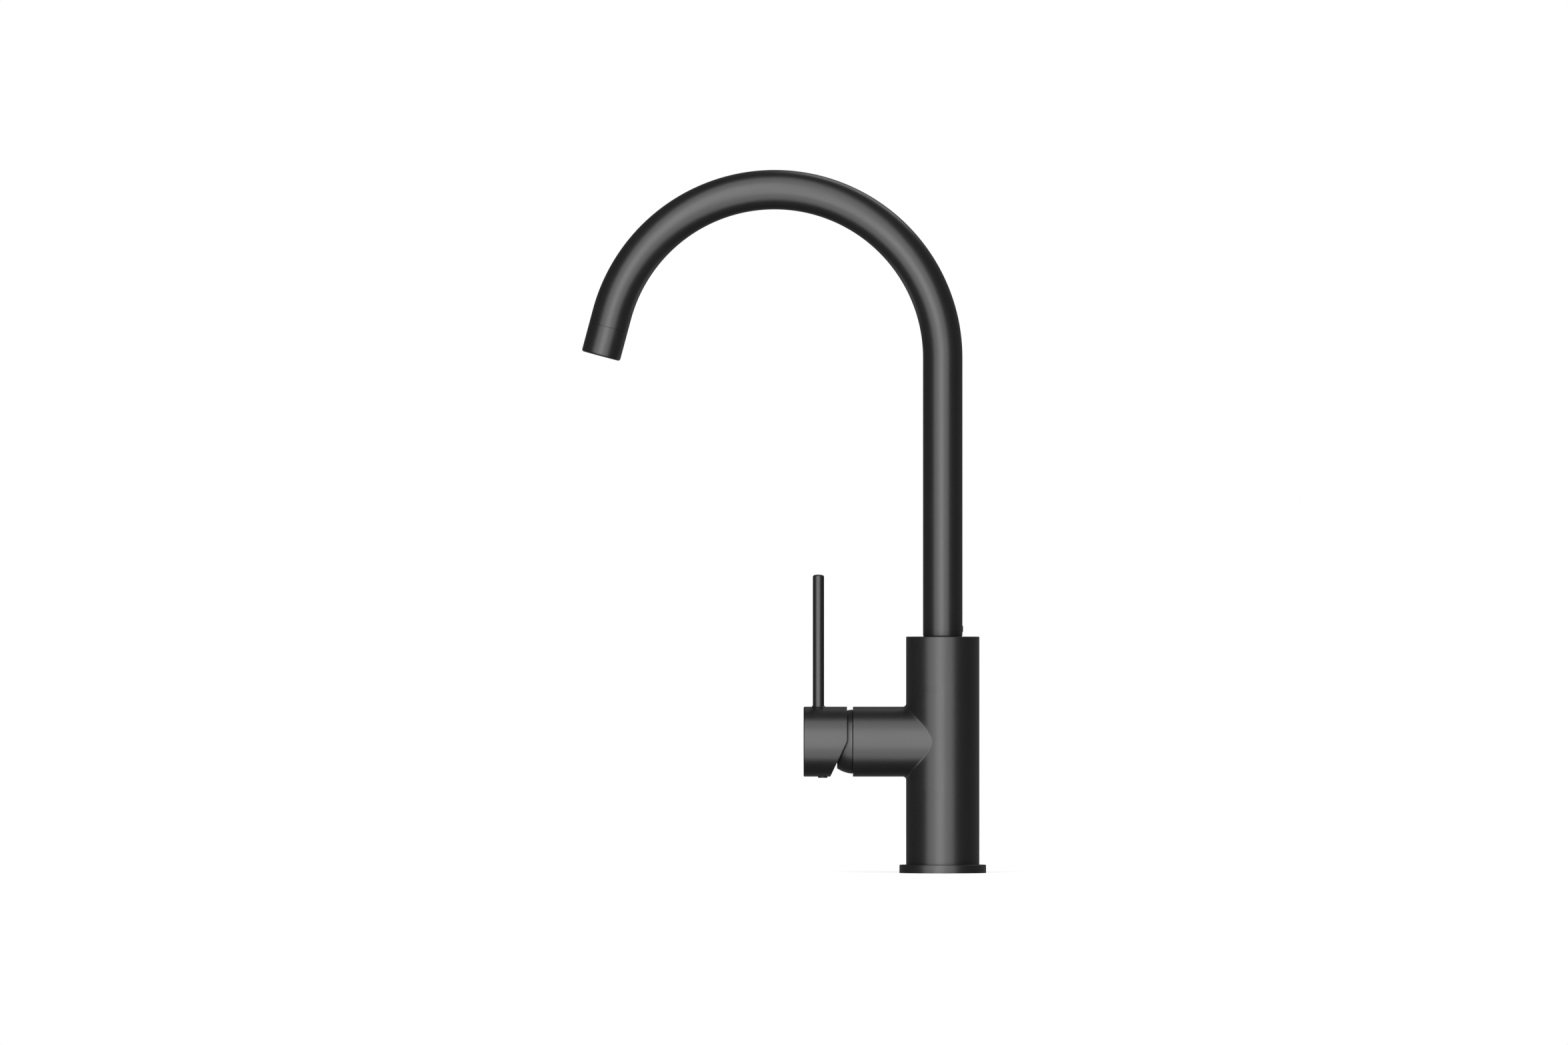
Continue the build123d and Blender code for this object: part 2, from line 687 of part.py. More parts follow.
with BuildPart() as moving_disc:
    with BuildSketch(branch.offset(moving_disc_out)):
        with Locations((0, moving_disc_start)):
            Circle(moving_disc_r)
    extrude(amount=valve_disc_thickness)
    # Mixing pocket on the face that slides over the fixed disc
    with BuildSketch(branch.offset(moving_disc_out)):
        with Locations((0, mixing_pocket_z)):
            Ellipse(mixing_pocket_half_width, mixing_pocket_half_height)
    extrude(amount=mixing_pocket_depth, mode=Mode.SUBTRACT)
    with BuildSketch(branch.offset(carrier_back_out)):
        with Locations(*carrier_peg_spots):
            Circle(peg_r + running_gap)
    extrude(amount=-carrier_peg_length - running_gap, mode=Mode.SUBTRACT)
moving_disc.part.label = "moving_disc"
export_step(moving_disc.part, "parts/moving_disc.step")


with BuildPart() as disc_carrier:
    with BuildSketch(branch.offset(carrier_back_out)):
        with Locations((0, moving_disc_start)):
            Circle(moving_disc_r)
    extrude(amount=carrier_thickness)
    # Tongue that slides in the rotor's groove
    with BuildSketch(branch.offset(carrier_top_out)):
        with Locations((0, moving_disc_start)):
            Rectangle(2 * tongue_half_width, 2 * tongue_half_length)
    extrude(amount=rotor_groove_depth)
    # Socket for the stem's ball, flared at its mouth
    with BuildSketch(branch.offset(carrier_back_out)):
        Circle(stem_ball_r + running_gap)
    extrude(amount=carrier_thickness + rotor_groove_depth, mode=Mode.SUBTRACT)
    tongue_face = disc_carrier.faces().sort_by(branch_axis)[-1]
    chamfer(tongue_face.edges().filter_by(GeomType.CIRCLE), stem_ball_r - stem_neck_r)
    with BuildSketch(branch.offset(carrier_back_out)):
        with Locations(*carrier_peg_spots):
            Circle(peg_r)
    extrude(amount=-carrier_peg_length)
disc_carrier.part.label = "disc_carrier"
export_step(disc_carrier.part, "parts/disc_carrier.step")


with BuildPart() as rotor:
    with BuildSketch(branch.offset(rotor_back_out)):
        Circle(rotor_flange_r)
    extrude(amount=rotor_flange_thickness)
    with BuildSketch(branch.offset(rotor_back_out)):
        Circle(rotor_r)
    extrude(amount=pivot_out + rotor_nose - rotor_back_out)
    # Slot that the stem tilts in
    with BuildSketch(branch.offset(rotor_back_out)):
        with Locations((0, (slot_high - slot_low) / 2)):
            Rectangle(stem_width + 2 * running_gap, slot_high + slot_low)
    extrude(amount=pivot_out + rotor_nose - rotor_back_out, mode=Mode.SUBTRACT)
    # Groove across the back for the carrier's tongue
    with BuildSketch(branch.offset(rotor_back_out)):
        Rectangle(2 * (tongue_half_width + running_gap), 2 * cartridge_r)
    extrude(amount=rotor_groove_depth, mode=Mode.SUBTRACT)
    with BuildSketch(branch_side):
        with Locations((pivot_out, 0)):
            Circle(pivot_pin_r + press_gap)
    extrude(amount=rotor_r, both=True, mode=Mode.SUBTRACT)
rotor.part.label = "rotor"
export_step(rotor.part, "parts/rotor.step")


with BuildPart() as pivot_pin:
    with BuildSketch(branch_side):
        with Locations((pivot_out, 0)):
            Circle(pivot_pin_r)
    extrude(amount=rotor_r - pivot_pin_inset, both=True)
pivot_pin.part.label = "pivot_pin"
export_step(pivot_pin.part, "parts/pivot_pin.step")


with BuildPart() as stem:
    with BuildSketch(branch.offset(stem_back_out)):
        Rectangle(stem_width, stem_height)
    extrude(amount=stem_front_out - stem_back_out)
    chamfer(stem.edges().filter_by(Axis.X), stem_edge)
    with BuildSketch(branch_side):
        with Locations((pivot_out, 0)):
            Circle(pivot_pin_r + pin_gap)
    extrude(amount=stem_width, both=True, mode=Mode.SUBTRACT)
    # Neck and ball that drive the disc carrier
    with BuildSketch(branch.offset(ball_out)):
        Circle(stem_neck_r)
    extrude(amount=stem_back_out - ball_out)
    with Locations((-ball_out, 0, branch_z)):
        Sphere(stem_ball_r)
stem.part.label = "stem"
export_step(stem.part, "parts/stem.step")


with BuildPart() as dome_cover:
    dome_rear_out = branch_end + dome_seam
    dome_rear_r = sqrt(dome_r**2 - (dome_rear_out - pivot_out) ** 2)
    dome_middle = (dome_rear_out + pivot_out + dome_front) / 2 - pivot_out
    with BuildSketch(branch_side):
        with BuildLine():
            Polyline(
                (pivot_out + dome_front, dome_front_r),
                (pivot_out + dome_front, dome_opening_r),
                (pivot_out + dome_front - dome_lip, dome_opening_r),
                (pivot_out + dome_front - dome_lip, dome_bore_r),
                (spigot_out, dome_bore_r),
                (spigot_out, dome_spigot_r),
                (dome_rear_out, dome_spigot_r),
                (dome_rear_out, dome_rear_r),
            )
            ThreePointArc(
                (dome_rear_out, dome_rear_r),
                (pivot_out + dome_middle, sqrt(dome_r**2 - dome_middle**2)),
                (pivot_out + dome_front, dome_front_r),
            )
        make_face()
    revolve(axis=branch_axis)
dome_cover.part.label = "dome_cover"
export_step(dome_cover.part, "parts/dome_cover.step")


with BuildPart() as handle_hub:
    with BuildSketch(branch.offset(hub_rim_out)):
        Circle(hub_r)
    extrude(amount=hub_end_out - hub_rim_out)
    fillet(handle_hub.faces().sort_by(branch_axis)[-1].edges(), hub_end_round)
    # Boss under the lever, blended into the drum
    with BuildSketch(Plane((-lever_at, 0, branch_z))):
        Circle(lever_d / 2)
    extrude(amount=hub_r + lever_boss_height)
    fillet(handle_hub.edges().filter_by(GeomType.BSPLINE), lever_boss_fillet)
    # Cavity over the dome, and the slanted cut that leaves room to tilt
    with BuildSketch(branch.offset(hub_rim_out)):
        Circle(cavity_r)
    extrude(amount=cavity_end_out - hub_rim_out, mode=Mode.SUBTRACT)
    with BuildSketch(branch_side):
        with BuildLine():
            Polyline(
                (hub_rim_out, hub_cut_height),
                (hub_rim_out + (hub_cut_height + branch_end) * tan(radians(tilt_range)), -branch_end),
                (hub_rim_out - hub_rim, -branch_end),
                (hub_rim_out - hub_rim, hub_cut_height),
                close=True,
            )
        make_face()
    extrude(amount=2 * hub_r, both=True, mode=Mode.SUBTRACT)
    # Socket for the stem, hole for the lever's tenon, and the grub screw's hole with a seat for its plug
    with BuildSketch(branch.offset(cavity_end_out)):
        Rectangle(stem_width + 2 * running_gap, stem_height + 2 * running_gap)
    extrude(amount=stem_front_out + running_gap - cavity_end_out, mode=Mode.SUBTRACT)
    with BuildSketch(Plane((-lever_at, 0, branch_z + lever_tenon_foot))):
        Circle(lever_tenon_r + pin_gap)
    extrude(amount=hub_r + lever_boss_height - lever_tenon_foot, mode=Mode.SUBTRACT)
    with BuildSketch(Plane((-grub_at, 0, branch_z - hub_r))):
        Circle(grub_screw_r + pin_gap)
    extrude(amount=hub_r, mode=Mode.SUBTRACT)
    with BuildSketch(Plane((-grub_at, 0, branch_z - hub_r))):
        Circle(plug_r + pin_gap)
    extrude(amount=plug_seat_depth + seat_gap, mode=Mode.SUBTRACT)
handle_hub.part.label = "handle_hub"
export_step(handle_hub.part, "parts/handle_hub.step")


with BuildPart() as lever:
    # Pin with a crowned end, and a thinner tenon in the hub
    crown_r = (lever_d**2 / 4 + lever_end_crown**2) / (2 * lever_end_crown)
    crown_half = lever_d / 4
    crown_half_z = lever_top_z - crown_r + sqrt(crown_r**2 - crown_half**2)
    with BuildSketch(Plane((-lever_at, 0, 0), x_dir=(1, 0, 0), z_dir=(0, -1, 0))):
        with BuildLine():
            Polyline(
                (0, lever_top_z),
                (0, branch_z + lever_tenon_foot + seat_gap),
                (lever_tenon_r, branch_z + lever_tenon_foot + seat_gap),
                (lever_tenon_r, lever_foot_z),
                (lever_d / 2, lever_foot_z),
                (lever_d / 2, lever_top_z - lever_end_crown),
            )
            ThreePointArc(
                (lever_d / 2, lever_top_z - lever_end_crown),
                (crown_half, crown_half_z),
                (0, lever_top_z),
            )
        make_face()
    revolve(axis=Axis((-lever_at, 0, 0), (0, 0, 1)))
lever.part.label = "lever"
export_step(lever.part, "parts/lever.step")


with BuildPart() as hub_grub_screw:
    with BuildSketch(Plane((-grub_at, 0, grub_top_z))):
        Circle(grub_screw_r)
    extrude(amount=-grub_screw_length)
    with BuildSketch(Plane((-grub_at, 0, grub_top_z - grub_screw_length))):
        RegularPolygon(key_flats / 2, 6, major_radius=False)
    extrude(amount=key_depth, mode=Mode.SUBTRACT)
hub_grub_screw.part.label = "hub_grub_screw"
export_step(hub_grub_screw.part, "parts/hub_grub_screw.step")


with BuildPart() as hub_plug:
    with BuildSketch(Plane((-grub_at, 0, branch_z - hub_r - plug_proud))):
        Circle(plug_r)
    extrude(amount=plug_proud + plug_seat_depth)
    with BuildSketch(Plane((-grub_at, 0, branch_z - hub_r - plug_proud))):
        Circle(plug_shank_r)
    extrude(amount=plug_proud + plug_seat_depth + plug_shank_length)
hub_plug.part.label = "hub_plug"
export_step(hub_plug.part, "parts/hub_plug.step")

print("overall height", round(arch_start + arch_radius + tube_r, 2))
print("reach of the outlet", round(-seam_x - (collar_length * outlet_x), 2))
print("disc slide for each radian of tilt", round(disc_shift / radians(tilt_range), 5))
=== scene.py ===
import json
from math import asin, atan2, cos, pi, radians, sin, tan

import bmesh
import bpy
from mathutils import Matrix, Vector
from mathutils.geometry import tessellate_polygon


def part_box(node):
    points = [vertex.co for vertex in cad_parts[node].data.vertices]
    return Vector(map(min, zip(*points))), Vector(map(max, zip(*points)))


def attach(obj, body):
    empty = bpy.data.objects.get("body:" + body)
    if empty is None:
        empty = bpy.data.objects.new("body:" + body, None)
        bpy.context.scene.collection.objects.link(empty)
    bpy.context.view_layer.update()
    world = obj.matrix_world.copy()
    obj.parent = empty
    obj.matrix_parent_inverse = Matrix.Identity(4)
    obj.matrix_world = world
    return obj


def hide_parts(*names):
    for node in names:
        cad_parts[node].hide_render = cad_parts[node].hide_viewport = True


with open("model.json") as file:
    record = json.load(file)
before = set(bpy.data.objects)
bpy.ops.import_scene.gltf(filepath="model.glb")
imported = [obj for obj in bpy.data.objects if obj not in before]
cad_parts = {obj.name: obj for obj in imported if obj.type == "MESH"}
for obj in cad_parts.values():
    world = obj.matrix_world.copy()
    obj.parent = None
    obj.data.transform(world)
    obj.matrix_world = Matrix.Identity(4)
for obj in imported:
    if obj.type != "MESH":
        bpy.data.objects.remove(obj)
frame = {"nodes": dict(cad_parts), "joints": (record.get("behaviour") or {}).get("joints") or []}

# Gooseneck sink mixer: a matte black body with a side branch, a swivelling spout and a pin-lever hub.
# Pieces are drawn in millimetres and written to their meshes in metres, in the frame of the CAD model.

scene = bpy.context.scene
scene.view_settings.view_transform = "Standard"
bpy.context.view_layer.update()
mm = 0.001


def boxOf(node):
    low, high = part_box(node)
    return low / mm, high / mm


def jointSpot(name):
    joint = next(joint for joint in frame["joints"] if joint["name"] == name)
    return Vector(joint["pos_m"]) / mm


def axes(origin, x, z):
    # a place with its own x and z directions, for turned and branching shapes
    x, z = Vector(x).normalized(), Vector(z).normalized()
    y = z.cross(x)
    turn = Matrix((x, y, z)).transposed().to_4x4()
    return Matrix.Translation(Vector(origin)) @ turn


# Materials


def hexColour(code):
    values = [int(code[i:i + 2], 16) / 255 for i in (1, 3, 5)]
    linear = [v / 12.92 if v <= 0.04045 else ((v + 0.055) / 1.055) ** 2.4 for v in values]
    return (*linear, 1.0)


def addNode(tree, kind, inputs=None, **settings):
    node = tree.nodes.new(kind)
    for name, value in settings.items():
        setattr(node, name, value)
    for socket, value in (inputs or {}).items():
        if isinstance(value, bpy.types.NodeSocket):
            tree.links.new(value, node.inputs[socket])
        else:
            node.inputs[socket].default_value = value
    return node


def newMaterial(name):
    material = bpy.data.materials.new(name)
    material.use_nodes = True
    material.node_tree.nodes.clear()
    return material, material.node_tree


def finishMaterial(tree, shader):
    addNode(tree, "ShaderNodeOutputMaterial", {"Surface": shader.outputs[0]})


def perMetre(sizeMm):
    # noise scale for features of this size
    return 1 / (sizeMm * mm)


def powderCoat():
    # Baked polyester powder on brass: an even satin black, with a fine grain and a faint orange peel
    look = dict(dark="#151516", light="#19191a", rough=(0.31, 0.345), ior=1.8,
                grainMm=0.5, grainHeightMm=0.013, peelMm=2.4, peelHeightMm=0.014, cloudMm=28)
    material, tree = newMaterial("satinBlackPowderCoat")
    spot = addNode(tree, "ShaderNodeTexCoord").outputs["Object"]
    clouds = addNode(tree, "ShaderNodeTexNoise", {
        "Vector": spot, "Scale": perMetre(look["cloudMm"]), "Detail": 3, "Roughness": 0.55})
    # the real grain is about 0.1 mm, and is drawn coarser so that it shows
    grain = addNode(tree, "ShaderNodeTexNoise", {
        "Vector": spot, "Scale": perMetre(look["grainMm"]), "Detail": 2})
    peel = addNode(tree, "ShaderNodeTexNoise", {
        "Vector": spot, "Scale": perMetre(look["peelMm"]), "Detail": 1})
    colour = addNode(tree, "ShaderNodeMix", {
        0: grain.outputs["Fac"], 6: hexColour(look["dark"]), 7: hexColour(look["light"])}, data_type="RGBA")
    rough = addNode(tree, "ShaderNodeMapRange", {
        "Value": clouds.outputs["Fac"], "From Min": 0.3, "From Max": 0.7,
        "To Min": look["rough"][0], "To Max": look["rough"][1]})
    waves = addNode(tree, "ShaderNodeBump", {
        "Height": peel.outputs["Fac"], "Distance": look["peelHeightMm"] * mm, "Strength": 1})
    bumps = addNode(tree, "ShaderNodeBump", {
        "Height": grain.outputs["Fac"], "Distance": look["grainHeightMm"] * mm, "Strength": 1,
        "Normal": waves.outputs["Normal"]})
    shader = addNode(tree, "ShaderNodeBsdfPrincipled", {
        "Base Color": colour.outputs[2], "Roughness": rough.outputs["Result"], "IOR": look["ior"],
        "Normal": bumps.outputs["Normal"]})
    finishMaterial(tree, shader)
    return material


def turnedMetal(name, dark, light, rough, axis, feedMm):
    # Bar turned on a lathe: slightly stained, with close feed marks round the axis
    look = dict(stainMm=9, roughSpread=0.08, feedHeightMm=0.004)
    material, tree = newMaterial(name)
    spot = addNode(tree, "ShaderNodeTexCoord").outputs["Object"]
    along = addNode(tree, "ShaderNodeSeparateXYZ", {"Vector": spot}).outputs[axis]
    feed = addNode(tree, "ShaderNodeTexNoise", {
        "W": along, "Scale": perMetre(feedMm), "Detail": 3}, noise_dimensions="1D")
    stain = addNode(tree, "ShaderNodeTexNoise", {
        "Vector": spot, "Scale": perMetre(look["stainMm"]), "Detail": 4})
    colour = addNode(tree, "ShaderNodeMix", {
        0: stain.outputs["Fac"], 6: hexColour(dark), 7: hexColour(light)}, data_type="RGBA")
    shine = addNode(tree, "ShaderNodeMapRange", {
        "Value": feed.outputs["Fac"], "To Min": rough - look["roughSpread"],
        "To Max": rough + look["roughSpread"]})
    marks = addNode(tree, "ShaderNodeBump", {
        "Height": feed.outputs["Fac"], "Distance": look["feedHeightMm"] * mm})
    shader = addNode(tree, "ShaderNodeBsdfPrincipled", {
        "Base Color": colour.outputs[2], "Metallic": 1, "Roughness": shine.outputs["Result"],
        "Normal": marks.outputs["Normal"]})
    finishMaterial(tree, shader)
    return material


def mouldedMaterial(name, dark, light, rough, grainMm, heightMm, ior=1.5):
    # Moulded or fired piece: even colour with slight clouding, and the mould's or kiln's fine skin
    look = dict(cloudGrains=18, roughSpread=0.05)
    material, tree = newMaterial(name)
    spot = addNode(tree, "ShaderNodeTexCoord").outputs["Object"]
    grain = addNode(tree, "ShaderNodeTexNoise", {
        "Vector": spot, "Scale": perMetre(grainMm), "Detail": 3})
    clouds = addNode(tree, "ShaderNodeTexNoise", {
        "Vector": spot, "Scale": perMetre(grainMm * look["cloudGrains"]), "Detail": 2})
    colour = addNode(tree, "ShaderNodeMix", {
        0: clouds.outputs["Fac"], 6: hexColour(dark), 7: hexColour(light)}, data_type="RGBA")
    shine = addNode(tree, "ShaderNodeMapRange", {
        "Value": grain.outputs["Fac"], "To Min": rough - look["roughSpread"],
        "To Max": rough + look["roughSpread"]})
    skin = addNode(tree, "ShaderNodeBump", {"Height": grain.outputs["Fac"], "Distance": heightMm * mm})
    shader = addNode(tree, "ShaderNodeBsdfPrincipled", {
        "Base Color": colour.outputs[2], "Roughness": shine.outputs["Result"], "IOR": ior,
        "Normal": skin.outputs["Normal"]})
    finishMaterial(tree, shader)
    return material


coat = powderCoat()
columnBrass = turnedMetal("turnedBrassUpright", "#b08a45", "#d3ae66", rough=0.3, axis="Z", feedMm=0.16)
branchBrass = turnedMetal("turnedBrassLevel", "#b08a45", "#d3ae66", rough=0.3, axis="X", feedMm=0.16)
stainless = turnedMetal("stainlessSteel", "#a9abad", "#c6c8ca", rough=0.32, axis="Z", feedMm=0.12)
blackSteel = turnedMetal("blackenedSteel", "#2b2b2d", "#39393b", rough=0.42, axis="X", feedMm=0.12)
rubber = mouldedMaterial("nitrileRubber", "#141414", "#1b1b1b", rough=0.7, grainMm=0.3, heightMm=0.004)
blackPlastic = mouldedMaterial(
    "mouldedBlackNylon", "#171718", "#1d1d1e", rough=0.5, grainMm=0.35, heightMm=0.004)
acetal = mouldedMaterial(
    "mouldedWhiteAcetal", "#e4e2da", "#f0eee7", rough=0.38, grainMm=0.6, heightMm=0.003)
greyPlastic = mouldedMaterial(
    "mouldedGreyAcetal", "#6f7072", "#7d7e80", rough=0.42, grainMm=0.5, heightMm=0.003)
ceramic = mouldedMaterial(
    "lappedAlumina", "#e6e4de", "#f1efe9", rough=0.18, grainMm=0.2, heightMm=0.001, ior=1.76)
print("materials ready")


# Mesh building


class Skin:
    # points and faces of one piece, in millimetres, with a material number for each face

    def __init__(self):
        self.points, self.faces, self.finish = [], [], []

    def loop(self, points):
        first = len(self.points)
        self.points.extend(points)
        return list(range(first, len(self.points)))

    def face(self, corners, finish=0):
        self.faces.append(corners)
        self.finish.append(finish)

    def bridge(self, one, two, finish=0):
        # a band of faces between two closed loops, or a fan to a single point
        count = max(len(one), len(two))
        for i in range(count):
            a, b = one[i % len(one)], one[(i + 1) % len(one)]
            c, d = two[(i + 1) % len(two)], two[i % len(two)]
            self.face([a, c, d] if a == b else [a, b, c] if c == d else [a, b, c, d], finish)

    def plate(self, outer, holes, finish=0):
        # a flat face between an outer loop and the loops of its holes
        loops = [outer, *holes]
        flat = [index for loop in loops for index in loop]
        for corners in tessellate_polygon([[self.points[i] for i in loop] for loop in loops]):
            self.face([flat[corner] for corner in corners], finish)


def roundedOutline(corners, steps=5):
    # closed outline of (radius, height) or (radius, height, rounding) corners
    outline = []
    for i, corner in enumerate(corners):
        here = Vector(corner[:2])
        if len(corner) < 3:
            outline.append(here)
            continue
        back = (Vector(corners[i - 1][:2]) - here).normalized()
        ahead = (Vector(corners[(i + 1) % len(corners)][:2]) - here).normalized()
        half = back.angle(ahead) / 2
        centre = here + (back + ahead).normalized() * (corner[2] / sin(half))
        start = here + back * (corner[2] / tan(half)) - centre
        end = here + ahead * (corner[2] / tan(half)) - centre
        turn = atan2(start.x * end.y - start.y * end.x, start.dot(end))
        for step in range(steps + 1):
            outline.append(centre + Matrix.Rotation(turn * step / steps, 2) @ start)
    return outline


def ring(place, radius, height, angles):
    return [place @ Vector((radius * cos(a), radius * sin(a), height)) for a in angles]


def fullTurn(count):
    return [2 * pi * i / count for i in range(count)]


def toObject(name, mesh, materials):
    for material in materials:
        mesh.materials.append(material)
    thing = bpy.data.objects.new(name, mesh)
    scene.collection.objects.link(thing)
    return thing


def applied(thing):
    # the evaluated shape as a plain mesh, with no modifier left
    shape = bpy.data.meshes.new_from_object(thing.evaluated_get(bpy.context.evaluated_depsgraph_get()))
    thing.modifiers.clear()
    old, thing.data = thing.data, shape
    shape.name = thing.name
    bpy.data.meshes.remove(old)
    return thing


def smoothed(thing):
    # merged, faced outwards, and shaded so that broad faces keep their own direction
    limits = dict(mergeMm=0.0001, sharpAngle=34)
    build = bmesh.new()
    build.from_mesh(thing.data)
    bmesh.ops.remove_doubles(build, verts=build.verts, dist=limits["mergeMm"] * mm)
    bmesh.ops.recalc_face_normals(build, faces=build.faces)
    build.to_mesh(thing.data)
    build.free()
    thing.data.shade_smooth()
    thing.data.set_sharp_from_angle(angle=radians(limits["sharpAngle"]))
    thing.modifiers.new("broadFaces", "WEIGHTED_NORMAL").keep_sharp = True
    return applied(thing)


def skinPiece(name, skin, materials):
    mesh = bpy.data.meshes.new(name)
    mesh.from_pydata([point * mm for point in skin.points], [], skin.faces)
    mesh.polygons.foreach_set("material_index", skin.finish)
    return smoothed(toObject(name, mesh, materials))


def turnedPiece(name, outline, place, segments, material):
    # the outline is spun round the place's z axis; points on the axis become poles
    skin = Skin()
    loops = []
    for radius, height in outline:
        angles = fullTurn(segments) if radius > 0 else [0]
        loops.append(skin.loop(ring(place, radius, height, angles)))
    for one, two in zip(loops, loops[1:] + loops[:1]):
        if len(one) + len(two) > 2:
            skin.bridge(one, two)
    return skinPiece(name, skin, [material])


def seat(thing, body, node=None):
    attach(thing, body)
    if node:
        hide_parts(node)
    return thing


def nodeGroup(name, inputs):
    tree = bpy.data.node_groups.new(name, "GeometryNodeTree")
    tree.interface.new_socket("Geometry", in_out="OUTPUT", socket_type="NodeSocketGeometry")
    for label, kind in inputs.items():
        tree.interface.new_socket(label, in_out="INPUT", socket_type="NodeSocket" + kind)
    return tree, addNode(tree, "NodeGroupInput").outputs


def finishGroup(tree, shape, finish):
    whole = addNode(tree, "GeometryNodeRealizeInstances", {"Geometry": shape.outputs[0]})
    done = addNode(tree, "GeometryNodeSetMaterial", {"Geometry": whole.outputs[0], "Material": finish})
    addNode(tree, "NodeGroupOutput", {0: done.outputs[0]})


def grown(name, tree, values):
    # an object made by a node tree, with its inputs set by identifier
    thing = toObject(name, bpy.data.meshes.new(name), [])
    modifier = thing.modifiers.new(name, "NODES")
    modifier.node_group = tree
    for item in tree.interface.items_tree:
        if item.in_out == "INPUT":
            modifier[item.identifier] = values[item.name]
    return thing


# Places that the pieces share

pivot = jointSpot("flow_tilt")
bodyLow, bodyHigh = boxOf("body")
hubLow, hubHigh = boxOf("handle_hub")
tubeLow, tubeHigh = boxOf("spout_tube")
branchZ = pivot.z
branchR = hubHigh.y
columnPlace = Matrix.Identity(4)
outPlace = axes((0, 0, branchZ), (0, 0, 1), (-1, 0, 0))


def uprightAt(low, high):
    # an upright axis through the middle of a piece's box
    return axes(((low.x + high.x) / 2, 0, 0), (1, 0, 0), (0, 0, 1))


# Branching cylinder: a main cylinder with a side cylinder that leaves it through a rolling fillet


def spread(start, end, count):
    return [start + (end - start) * i / count for i in range(count + 1)]


def teeSkin(skin, place, main, side):
    # place: z along the main cylinder, x along the side one, origin where they cross
    halfTurn = main["halfTurn"]
    inside = spread(-halfTurn, halfTurn, main["acrossCount"])
    outside = spread(halfTurn, 2 * pi - halfTurn, main["backCount"])[1:-1]
    angles = inside + outside
    heights = (main["below"][:-1] + spread(main["below"][-1], main["above"][0], main["upCount"])
               + main["above"][1:])
    left, right = 0, main["acrossCount"]
    low = len(main["below"]) - 1
    high = low + main["upCount"]
    grid = {}
    for j, height in enumerate(heights):
        for i, angle in enumerate(angles):
            if left < i < right and low < j < high:
                continue
            grid[i, j] = skin.loop(ring(place, main["r"], height, [angle]))[0]
    for j in range(len(heights) - 1):
        for i in range(len(angles)):
            if left <= i < right and low <= j < high:
                continue
            n = (i + 1) % len(angles)
            skin.face([grid[i, j], grid[n, j], grid[n, j + 1], grid[i, j + 1]])
    border = ([(i, low) for i in range(left, right)] + [(right, j) for j in range(low, high)]
              + [(i, high) for i in range(right, left, -1)] + [(left, j) for j in range(high, low, -1)])
    turns = [atan2(angles[i] * main["r"], heights[j]) for i, j in border]
    fillet, r, s = side["fillet"], main["r"], side["r"]

    def ballAt(turn):
        # centre of the ball that rolls in the corner, and its direction from the main axis
        y = (s + fillet) * sin(turn)
        lean = asin(y / (r + fillet))
        return Vector(((r + fillet) * cos(lean), y, (s + fillet) * cos(turn))), lean

    def cornerPoint(turn, share):
        ball, lean = ballAt(turn)
        towardSide = Vector((0, -sin(turn), -cos(turn)))
        towardMain = Vector((-cos(lean), -sin(lean), 0))
        return place @ (ball + fillet * towardSide.slerp(towardMain, share))

    def sidePoint(turn, share):
        start = ballAt(turn)[0].x
        out = start + (side["end"] - start) * share
        return place @ Vector((out, s * sin(turn), s * cos(turn)))

    def spreadPoint(turn, corner, share):
        ball, lean = ballAt(turn)
        angle = lean + (angles[corner[0]] - lean) * share
        height = ball.z + (heights[corner[1]] - ball.z) * share
        return ring(place, r, height, [angle])[0]

    loops = [skin.loop([sidePoint(t, share) for t in turns]) for share in spread(1, 0, side["outCount"])]
    for share in spread(0, 1, side["filletCount"])[1:]:
        loops.append(skin.loop([cornerPoint(t, share) for t in turns]))
    for share in spread(0, 1, side["spreadCount"])[1:-1]:
        loops.append(skin.loop([spreadPoint(t, c, share) for t, c in zip(turns, border)]))
    loops.append([grid[corner] for corner in border])
    for one, two in zip(loops, loops[1:]):
        skin.bridge(one, two)
    ends = [[grid[i, j] for i in range(len(angles))] for j in (0, len(heights) - 1)]
    return dict(angles=angles, turns=turns, sideEnd=loops[0], mainEnds=ends)


def continued(skin, start, place, angles, steps, finish=0):
    # carries an open end on through rings of (radius, height)
    for radius, height in steps:
        fresh = skin.loop(ring(place, radius, height, angles if radius > 0 else [0]))
        skin.bridge(start, fresh, finish)
        start = fresh
    return start


def arcSteps(centreR, centreH, rounding, start, end, count=5):
    # rings of a rounded edge, with its angles in degrees in the (radius, height) plane
    return [(centreR + rounding * cos(radians(a)), centreH + rounding * sin(radians(a)))
            for a in spread(start, end, count)]


# Body: column and branch in one casting, with the threaded ports in the roof of its hose bay

# each port: its place towards +X, the radius at the thread's root, and its depth
ports = dict(hose=(-9.0, 5.0, 10.0), stud=(9.0, 3.0, 15.0), apart=9.0, roof=48.0, tipAngle=59, sides=40)


